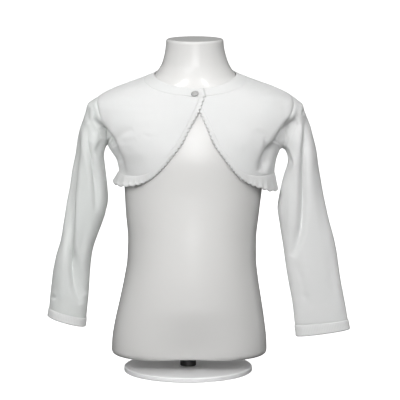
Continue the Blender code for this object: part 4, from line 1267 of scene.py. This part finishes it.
def make_base(surface):
    """The low round base, with its top edge rounded."""
    profile = [(BASE_RADIUS - BASE_CHAMFER, 0.0), (BASE_RADIUS, BASE_CHAMFER)]
    for degrees in range(0, 91, 10):
        angle = math.radians(degrees)
        profile.append((BASE_RADIUS - BASE_ROUND * (1 - math.cos(angle)),
                        BASE_HEIGHT - BASE_ROUND * (1 - math.sin(angle))))
    return turned("base_disc", profile, ORIGIN, UPWARD, surface)


def make_stub(surface):
    """The short black stub, with a fine groove where its collar ends."""
    low, high = BASE_HEIGHT + STUB_CLEARANCE, FORM_FOOT - STUB_CLEARANCE
    groove = low + GROOVE_AT * (high - low)
    edge, floor = STUB_RADIUS - STUB_CHAMFER, STUB_RADIUS - GROOVE_DEPTH
    profile = [(edge, low), (STUB_RADIUS, low + STUB_CHAMFER),
               (STUB_RADIUS, groove - GROOVE_HALF), (floor, groove - GROOVE_FLOOR_HALF),
               (floor, groove + GROOVE_FLOOR_HALF), (STUB_RADIUS, groove + GROOVE_HALF),
               (STUB_RADIUS, high - STUB_CHAMFER), (edge, high)]
    return turned("stub_post", profile, ORIGIN, UPWARD, surface, STUB_STEPS)


def make_button(surface):
    """The small dished button that holds the fronts at the neck."""
    turn = turn_at(BUTTON_ACROSS, BUTTON_AT)
    spot, out = body_cloth(turn, BUTTON_AT, lapped=True)
    seat = spot + out * (BAND_WALL / 2 + BUTTON_SEAT)
    profile = [(BUTTON_RADIUS * row.radius_share, row.height) for row in BUTTON_ROWS]
    return turned("neck_button", profile, seat, out, surface, BUTTON_STEPS, BUTTON_FLAT,
                  BUTTON_TILT)


# ---------------------------------------------------------------- nodes

COLOUR_RESULT = 2           # the output of a Mix node that mixes colours


class Socket:
    """A node's value that takes part in Python arithmetic."""

    def __init__(self, maker, socket):
        self.maker = maker
        self.socket = socket

    def __add__(self, other):
        return self.maker.math("ADD", self, other)

    def __sub__(self, other):
        return self.maker.math("SUBTRACT", self, other)

    def __rsub__(self, other):
        return self.maker.math("SUBTRACT", other, self)

    def __mul__(self, other):
        return self.maker.math("MULTIPLY", self, other)

    def __truediv__(self, other):
        return self.maker.math("DIVIDE", self, other)

    __radd__ = __add__
    __rmul__ = __mul__

    def fraction(self):
        return self.maker.math("FRACT", self)

    def size(self):
        return self.maker.math("ABSOLUTE", self)

    def sine(self):
        return self.maker.math("SINE", self)

    def wave(self):
        """A smooth wave between 0 and 1, once for each whole number."""
        return (self * (2 * math.pi)).sine() * 0.5 + 0.5

    def at_least(self, low):
        return self.maker.math("MAXIMUM", self, low)

    def between(self, low, high):
        """0 up to low, 1 from high, and a smooth rise between."""
        return self.maker.node("ShaderNodeMapRange", {"interpolation_type": "SMOOTHSTEP"},
                               Value=self, From_Min=low, From_Max=high)


class Maker:
    """Makes the nodes of one tree."""

    def __init__(self, tree):
        self.tree = tree

    def put(self, socket, value):
        """Links a socket to a value, or to each of a list, or sets it."""
        for one in value if isinstance(value, list) else [value]:
            if isinstance(one, Socket):
                self.tree.links.new(one.socket, socket)
            elif socket.type == "RGBA" and len(one) == 3:
                socket.default_value = (*one, 1.0)
            else:
                socket.default_value = one

    def node(self, kind, settings=None, *values, take=0, **named):
        """One output of a node; settings come first, then sockets, in order or by name."""
        made = self.tree.nodes.new(kind)
        for key, value in (settings or {}).items():
            setattr(made, key, value)
        used = [socket for socket in made.inputs if socket.enabled]
        for socket, value in zip(used, values):
            self.put(socket, value)
        for key, value in named.items():
            self.put(made.inputs[key.replace("_", " ")], value)
        return Socket(self, made.outputs[take])

    def math(self, operation, *values):
        return self.node("ShaderNodeMath", {"operation": operation}, *values)

    def mix(self, share, first, second):
        """A colour between two colours."""
        return self.node("ShaderNodeMix", {"data_type": "RGBA"}, share, first, second,
                         take=COLOUR_RESULT)

    def parts(self, vector):
        """The x, y and z of a vector."""
        split = self.node("ShaderNodeSeparateXYZ", Vector=vector)
        return [Socket(self, output) for output in split.socket.node.outputs]


# ---------------------------------------------------------------- stitches

STITCH_PITCH = 2.4          # along a seam
STITCH_LENGTH = 1.5
STITCH_THICK = 0.34
STITCH_SPREAD = 0.42        # between the two legs of a stitch
STITCH_SLANT = 24.0
STITCH_SINK = -0.02         # a stitch's middle lies this far above the cloth
BALL = {"Segments": 8, "Rings": 5, "Radius": 0.5}  # both legs are stretched balls
CUFF_STITCH_AT = 0.02       # down the cuff, as a share of it
CUFF_STITCH_IN = 0.15       # and this far inside its swell
SEAM_KINDS = {
    "armhole_stitches": ["right_armhole", "left_armhole"],
    "side_and_shoulder_stitches": ["right_side", "left_side", "right_shoulder",
                                   "left_shoulder"],
    "band_stitches": ["right_edge", "left_edge", "right_neck", "left_neck", "back_neck",
                      "back_hem"],
}


class Tree(Maker):
    """A Geometry Nodes tree with named sizes."""

    def __init__(self, name, **sizes):
        super().__init__(bpy.data.node_groups.new(name, "GeometryNodeTree"))
        face = self.tree.interface
        face.new_socket("Geometry", in_out="INPUT", socket_type="NodeSocketGeometry")
        face.new_socket("Geometry", in_out="OUTPUT", socket_type="NodeSocketGeometry")
        self.names = {}
        for key, value in sizes.items():
            label = key.replace("_", " ").capitalize()
            made = face.new_socket(label, in_out="INPUT", socket_type="NodeSocketFloat")
            made.default_value = value
            self.names[key] = made.identifier
        self.start = self.tree.nodes.new("NodeGroupInput")
        self.end = self.tree.nodes.new("NodeGroupOutput")

    def size(self, key):
        """The named size, as a value."""
        wanted = self.names[key]
        return Socket(self, next(s for s in self.start.outputs if s.identifier == wanted))


def stitch_tree(surface):
    """Places a two-legged stitch at even steps along each way of a wire mesh."""
    tree = Tree("seam_stitches", pitch=STITCH_PITCH * MM, length=STITCH_LENGTH * MM,
                thickness=STITCH_THICK * MM, spread=STITCH_SPREAD * MM)
    ball = tree.node("GeometryNodeMeshUVSphere", **BALL)
    scale = tree.node("ShaderNodeCombineXYZ", X=tree.size("length"),
                      Y=tree.size("thickness"), Z=tree.size("thickness"))
    legs = []
    for way in (1, -1):
        place = tree.node("ShaderNodeCombineXYZ", Y=tree.size("spread") * (way * 0.5))
        legs.append(tree.node("GeometryNodeTransform", Geometry=ball, Translation=place,
                              Rotation=(0, 0, way * math.radians(STITCH_SLANT)),
                              Scale=scale))
    stitch = tree.node("GeometryNodeJoinGeometry", Geometry=legs)
    ways = tree.node("GeometryNodeMeshToCurve", Mesh=Socket(tree, tree.start.outputs[0]))
    spots = tree.node("GeometryNodeResampleCurve", {"mode": "LENGTH"}, Curve=ways,
                      Length=tree.size("pitch"))
    out = tree.node("GeometryNodeInputNamedAttribute", {"data_type": "FLOAT_VECTOR"},
                    Name="out")
    along = tree.node("GeometryNodeInputTangent")
    lie = tree.node("FunctionNodeAlignRotationToVector", {"axis": "Z"}, Vector=out)
    lie = tree.node("FunctionNodeAlignRotationToVector", {"axis": "X", "pivot_axis": "Z"},
                    Rotation=lie, Vector=along)
    rows = tree.node("GeometryNodeInstanceOnPoints", Points=spots, Instance=stitch,
                     Rotation=lie)
    whole = tree.node("GeometryNodeRealizeInstances", Geometry=rows)
    smooth = tree.node("GeometryNodeSetShadeSmooth", Geometry=whole)
    done = tree.node("GeometryNodeSetMaterial", Geometry=smooth, Material=surface)
    tree.put(tree.end.inputs[0], done)
    return tree


def wire(name, ways):
    """A wire mesh of several ways, each with its points and their directions out."""
    points, edges, outs = [], [], []
    for spots, out, ring in ways:
        base = len(points)
        points += list(spots)
        outs += list(out)
        edges += [(base + i, base + i + 1) for i in range(len(spots) - 1)]
        if ring:
            edges.append((base + len(spots) - 1, base))
    data = bpy.data.meshes.new(name)
    data.from_pydata(np.array(points) * MM, edges, [])
    attribute = data.attributes.new("out", "FLOAT_VECTOR", "POINT")
    attribute.data.foreach_set("vector", np.array(outs).reshape(-1))
    return add_object(name, data)


def stitched(name, ways, surface):
    """The stitches along some ways, as one plain mesh."""
    tree = stitch_tree(surface)
    guide = wire(name + "_way", ways)
    grow = guide.modifiers.new("stitches", "NODES")
    grow.node_group = tree.tree
    grow[tree.names["pitch"]] = STITCH_PITCH * MM
    bpy.context.view_layer.update()
    seen = guide.evaluated_get(bpy.context.evaluated_depsgraph_get())
    data = bpy.data.meshes.new_from_object(seen)
    data.name = name
    bpy.data.objects.remove(guide)
    return add_object(name, data)


def body_seam(name):
    """A seam on the body cloth: points just above the dip, directions out, not a ring."""
    spots, out = body_cloth(*seam_lines()[name], name.startswith("right"), near_seams(name))
    return spots + out * (WALL / 2 + STITCH_SINK), out, name.endswith("armhole")


def cuff_seam(side):
    """The seam between a sleeve and its cuff."""
    spots = cuff_rings(side, np.array([CUFF_STITCH_AT]), CUFF_SWELL - CUFF_STITCH_IN)[0]
    out = unit(spots - spots.mean(axis=0))
    return spots + out * (WALL / 2), out, True


def make_stitches(surface):
    """The linked stitches along the seams, as one mesh for each kind of seam."""
    pieces = [stitched(name, [body_seam(seam) for seam in seams], surface)
              for name, seams in SEAM_KINDS.items()]
    pieces.append(stitched("cuff_stitches", [cuff_seam("right"), cuff_seam("left")], surface))
    return pieces


# ---------------------------------------------------------------- finishes

WALE = 1.55 * MM            # a column of stitches of the plain knit
COURSE = 1.15 * MM          # a row of them
BAND_RIB = 2.3 * MM         # a rib of the bands

KNIT_COOL = (0.745, 0.755, 0.75)
KNIT_WARM = (0.775, 0.775, 0.77)
# darker tone: painted shade between the stitches of the knitting, and the tone of a thread's
# twist
STITCH_SHADE_AND_TWIST_TONE = (0.53, 0.535, 0.535)
# painted shade: the right sleeve's knit is darker than the body's, and a little cooler in tint
SHADED_SLEEVE_COOL = (0.69, 0.715, 0.70)
SHADED_SLEEVE_WARM = (0.715, 0.73, 0.715)
BAND_LIGHT = (0.757, 0.755, 0.747)
FORM_TONE = (0.735, 0.73, 0.715)
FORM_SHADE = (0.70, 0.695, 0.685)
PEARL_LIGHT = (0.52, 0.515, 0.50)
PEARL_DARK = (0.33, 0.33, 0.33)
STUB_BLACK = (0.018, 0.018, 0.019)
STUB_WORN = (0.06, 0.06, 0.062)
BASE_TONE = (0.90, 0.90, 0.90)
BASE_SHADE = (0.86, 0.86, 0.865)
THREAD = (0.76, 0.765, 0.76)
FLOOR_TONE = (0.94, 0.94, 0.94)
CLOTH_FEEL = {"Sheen_Weight": 0.22, "Sheen_Roughness": 0.55, "Specular_IOR_Level": 0.2}
CLOTH_ROUGH = 0.96          # roughness of the knitting
NAP_SMOOTHS = 0.12          # the nap takes this much off the roughness
NAP_GRAIN = 1500.0
STITCH_SHADE_SHARE = 0.16           # painted shade: the darker tone shows this much between the stitches
LEG_SLANT = 1.3             # courses that a stitch's leg climbs across its wale
SLANT_SHARE = 0.6           # of the relief of a leg, the rest is its roundness
RIB_SHARE = 0.7             # of the relief of a band, the rest is its stitches
RIB_SLANT = 0.4


class Finish(Maker):
    """A material with a Principled shader; constants are set on the shader's sockets."""

    def __init__(self, name, **constants):
        self.made = bpy.data.materials.new(name)
        self.made.use_nodes = True
        super().__init__(self.made.node_tree)
        self.shader = self.tree.nodes["Principled BSDF"]
        for key, value in constants.items():
            self.shader.inputs[key.replace("_", " ")].default_value = value

    def cloud(self, scale, detail=2.0, rough=0.5, stretch=(1.0, 1.0, 1.0)):
        """Soft noise over the piece, by its own place."""
        place = self.node("ShaderNodeTexCoord", take="Object")
        place = self.node("ShaderNodeMapping", Vector=place, Scale=stretch)
        return self.node("ShaderNodeTexNoise", Vector=place, Scale=scale, Detail=detail,
                         Roughness=rough)

    def cloth_place(self):
        """Places on the cloth: u and v of its UV map, in metres."""
        return self.parts(self.node("ShaderNodeUVMap", {"uv_map": "cloth"}))[:2]

    def dress(self, colour, roughness, height=None, distance=0.0, strength=1.0):
        """Sets what changes over the surface; distance is in metres."""
        self.put(self.shader.inputs["Base Color"], colour)
        self.put(self.shader.inputs["Roughness"], roughness)
        if height is not None:
            bump = self.node("ShaderNodeBump", Height=height, Distance=distance,
                             Strength=strength)
            self.put(self.shader.inputs["Normal"], bump)
        return self.made


def knitted(finish, relief, tone, relief_share, nap_share, distance, strength):
    """Dresses a finish as knitting, by the relief of its stitches and a soft nap, with painted
    shade between the stitches.
    """
    nap = finish.cloud(scale=NAP_GRAIN, rough=0.7)
    # painted shade: the colour darkens between the stitches, where their relief is low
    colour = finish.mix((1 - relief) * STITCH_SHADE_SHARE, tone, STITCH_SHADE_AND_TWIST_TONE)
    height = relief * relief_share + nap * nap_share
    return finish.dress(colour, CLOTH_ROUGH - nap * NAP_SMOOTHS, height, distance, strength)


def knit_finish(name, cool, warm):
    """White fine plain knit: slanting legs in wales and courses, with a soft nap."""
    finish = Finish(name, **CLOTH_FEEL)
    u, v = finish.cloth_place()
    leg = ((u / WALE).fraction() - 0.5).size()
    round_leg = (leg * (2 * math.pi)).sine().at_least(0.0)
    slant = (v / COURSE + leg * LEG_SLANT).wave()
    relief = round_leg * (slant * SLANT_SHARE + (1 - SLANT_SHARE))
    tone = finish.mix(finish.cloud(scale=24.0, detail=3.0), cool, warm)
    return knitted(finish, relief, tone, relief_share=0.75, nap_share=0.35,
                   distance=0.22 * MM, strength=0.5)


def band_finish():
    """White doubled knit, with fine ribs across the band."""
    finish = Finish("white_band_rib", **CLOTH_FEEL)
    u, v = finish.cloth_place()
    rib = (v / BAND_RIB).wave()
    stitch = (u / COURSE + rib * RIB_SLANT).wave()
    relief = rib * RIB_SHARE + stitch * rib * (1 - RIB_SHARE)
    tone = finish.mix(finish.cloud(scale=30.0, detail=3.0), KNIT_COOL, BAND_LIGHT)
    return knitted(finish, relief, tone, relief_share=0.8, nap_share=0.3,
                   distance=0.2 * MM, strength=0.45)


def thread_finish():
    """White linking thread, twisted."""
    finish = Finish("white_linking_thread", **CLOTH_FEEL)
    twist = finish.cloud(scale=2600.0, detail=1.0, stretch=(1.0, 1.0, 2.2))
    colour = finish.mix(twist * 0.25, THREAD, STITCH_SHADE_AND_TWIST_TONE)
    return finish.dress(colour, 0.85 - twist * 0.1, twist, distance=0.08 * MM, strength=0.5)


def form_finish():
    """Glossy white moulded plastic, faintly clouded, with fine handling haze."""
    finish = Finish("glossy_white_form", Coat_Roughness=0.17, IOR=1.46)
    tone = finish.mix(finish.cloud(scale=9.0, detail=3.0), FORM_TONE, FORM_SHADE)
    haze = finish.cloud(scale=160.0, detail=4.0, rough=0.6)
    coat = 0.75 + finish.cloud(scale=14.0) * 0.2
    finish.put(finish.shader.inputs["Coat Weight"], coat)
    return finish.dress(tone, 0.45 + haze * 0.1, finish.cloud(scale=60.0),
                        distance=0.05 * MM, strength=0.25)


def button_finish():
    """Pearl grey plastic, streaked like shell."""
    finish = Finish("pearl_grey_button", Coat_Weight=0.5, Coat_Roughness=0.1)
    streak = finish.cloud(scale=420.0, detail=3.0, rough=0.6, stretch=(1.0, 1.0, 3.5))
    colour = finish.mix(streak.between(0.3, 0.7), PEARL_DARK, PEARL_LIGHT)
    return finish.dress(colour, 0.24 + streak * 0.15, streak, distance=0.03 * MM,
                        strength=0.4)


def stub_finish():
    """Black satin plastic, rubbed paler in places."""
    finish = Finish("black_stub")
    rub = finish.cloud(scale=220.0, detail=4.0, rough=0.65)
    colour = finish.mix(rub.between(0.55, 0.8) * 0.6, STUB_BLACK, STUB_WORN)
    return finish.dress(colour, 0.42 + rub * 0.2, rub, distance=0.04 * MM, strength=0.4)


def base_finish():
    """White satin paint on steel, with a faint orange peel."""
    finish = Finish("white_base")
    tone = finish.mix(finish.cloud(scale=18.0, detail=3.0), BASE_TONE, BASE_SHADE)
    peel = finish.cloud(scale=700.0, detail=1.0)
    return finish.dress(tone, 0.34 + finish.cloud(scale=60.0) * 0.12, peel,
                        distance=0.03 * MM, strength=0.35)


# ---------------------------------------------------------------- floor, light, camera

CAMERA_TARGET = Vector((0.0167, 0.0, 0.2426))
CAMERA_ELEVATION = 9.0
CAMERA_DISTANCE = 5.0
CAMERA_WIDTH = 0.56         # as much is seen from side to side at the target
SENSOR = 36.0

SKY_SIDE = 0.11             # the studio's light from each side
SKY_TOP = 0.52              # and how much more comes from above,
SKY_FRONT = 0.11            # and from the front
SKY_DARK = -0.6             # below the horizon it fades to nothing at this height
FLOOR_HALF = 9.0
FLOOR_GLOW = 0.85
FLOOR_ROUGH = 0.7
WHITE = (1.0, 1.0, 1.0, 1.0)

LAMP_TARGET = Vector((0.0167, 0.0, 0.31))
LAMP_SPREAD = math.radians(44.0)
# A lamp lights what is matt, shines back from what is glossy, or does both.
SoftLamp = namedtuple("SoftLamp", "name place size power lights shines")
SOFT_LAMPS = table(SoftLamp,
    ("lamp_right", (-0.76, -1.89, 1.27), 0.85, 1.80, True, False),
    ("lamp_left", (0.78, -1.89, 1.27), 0.85, 0.92, True, False),
    ("lamp_front", (0.10, -3.93, 0.90), 2.0, 2.50, True, True),
    ("lamp_behind", (0.60, 3.20, 0.70), 1.25, 3.00, True, False),
    ("shine_right", (-0.60, -1.24, 2.38), 0.30, 0.48, False, True),
    ("shine_left", (0.48, -1.34, 2.38), 0.30, 0.40, False, True),
)


def facing(way):
    """The turn of a camera or a lamp that looks along a way."""
    return way.to_track_quat("-Z", "Y").to_euler()


def make_camera():
    """The camera, level with the form and a little above it."""
    data = bpy.data.cameras.new("camera")
    data.sensor_width = SENSOR
    data.lens = SENSOR * CAMERA_DISTANCE / CAMERA_WIDTH
    camera = add_object("camera", data)
    rise = math.radians(CAMERA_ELEVATION)
    back = Vector((0.0, -math.cos(rise), math.sin(rise)))
    camera.location = CAMERA_TARGET + back * CAMERA_DISTANCE
    camera.rotation_euler = facing(-back)
    bpy.context.scene.camera = camera


def make_floor():
    """The plain pale floor."""
    half = FLOOR_HALF
    data = bpy.data.meshes.new("studio_floor")
    data.from_pydata([(-half, -half, 0), (half, -half, 0), (half, half, 0), (-half, half, 0)],
                     [], [(0, 1, 2, 3)])
    paint = Finish("pale_floor", Specular_IOR_Level=0.1, Emission_Strength=FLOOR_GLOW,
                   Emission_Color=WHITE)
    data.materials.append(paint.dress(FLOOR_TONE, FLOOR_ROUGH))
    floor = add_object("studio_floor", data)
    floor.visible_diffuse = False
    floor.visible_glossy = False


def make_sky():
    """Light from all round, with more from above and from the front."""
    world = bpy.data.worlds.new("studio")
    world.use_nodes = True
    bpy.context.scene.world = world
    maker = Maker(world.node_tree)
    x, y, z = maker.parts(maker.node("ShaderNodeTexCoord", take="Generated"))
    level = SKY_SIDE + (0 - y).at_least(0.0) * SKY_FRONT
    strength = level * z.between(SKY_DARK, 0.0) + z.at_least(0.0) * SKY_TOP
    background = world.node_tree.nodes["Background"]
    maker.put(background.inputs["Strength"], strength)
    background.inputs["Color"].default_value = WHITE


def make_lamps():
    """The round lamps that model the cloth and shine back from the form."""
    for lamp in SOFT_LAMPS:
        data = bpy.data.lights.new(lamp.name, "AREA")
        data.shape = "DISK"
        data.size = lamp.size
        data.energy = lamp.power
        data.spread = LAMP_SPREAD
        made = add_object(lamp.name, data)
        made.location = lamp.place
        made.rotation_euler = facing(LAMP_TARGET - made.location)
        made.visible_diffuse = lamp.lights
        made.visible_glossy = lamp.shines


# ---------------------------------------------------------------- the whole

# The cut of each cloth piece: its width and length, and its area where it isn't
# a rectangle.  A sleeve or a cuff is a tube, and its width goes all round.
Cut = namedtuple("Cut", "node slot width length area held")
CUTS = {
    "right_front_knit": Cut("right_front", "knit", 0.150, 0.165, 0.0175, "draped"),
    "left_front_knit": Cut("left_front", "knit", 0.145, 0.165, 0.0165, "draped"),
    "back_knit": Cut("back", "knit", 0.300, 0.180, 0.0435, "draped"),
    "right_sleeve_knit": Cut("right_sleeve", "knit", 0.195, 0.310, 0.0485, "hung"),
    "left_sleeve_knit": Cut("left_sleeve", "knit", 0.195, 0.320, 0.0510, "hung"),
    "right_cuff_knit": Cut("right_cuff", "band", 0.148, 0.014, None, "hung"),
    "left_cuff_knit": Cut("left_cuff", "band", 0.180, 0.015, None, "hung"),
    "neckband_knit": Cut("neckband", "band", 0.0125, 0.420, None, "draped"),
    "right_edging_knit": Cut("right_edging", "band", 0.016, 0.320, 0.0024, "hung"),
    "left_edging_knit": Cut("left_edging", "band", 0.026, 0.320, 0.0029, "hung"),
    "back_hem_band_knit": Cut("back_hem_band", "band", 0.026, 0.370, 0.0052, "hung"),
}
HARD = {
    "torso_form_shell": ("torso_form", "form"),
    "base_disc": ("base_plate", "base"),
    "stub_post": ("stand_stub", "stub"),
    "neck_button": ("button", "button"),
}


def main():
    """Makes the camera, the pieces with their looks, the floor and the light."""
    make_camera()
    knit = knit_finish("white_plain_knit", KNIT_COOL, KNIT_WARM)
    # painted shade: the right sleeve gets a darker, cooler copy of the knit
    sleeve_knit = {"left": knit, "right": knit_finish("cool_white_plain_knit", SHADED_SLEEVE_COOL,
                                                      SHADED_SLEEVE_WARM)}
    band = band_finish()
    form = form_tree()
    pieces = [make_back(knit, form), make_hem_band(band), make_neckband(band)]
    for side in ("right", "left"):
        pieces += [make_front(side, knit, form), make_sleeve(side, sleeve_knit[side], form),
                   make_cuff(side, band), make_front_edging(side, band)]
    hard = [make_form(form_finish()), make_base(base_finish()), make_stub(stub_finish()),
            make_button(button_finish())]
    stitches = make_stitches(thread_finish())
    for piece in hard:
        node, slot = HARD[piece.name]
        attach(piece, BODY)
        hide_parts(node)
    for piece in stitches:
        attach(piece, BODY)
    for piece in pieces:
        cut = CUTS[piece.name]
        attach(piece, BODY)
        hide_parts(cut.node)
    make_floor()
    make_sky()
    make_lamps()
    bpy.context.scene.view_settings.view_transform = "Standard"


main()
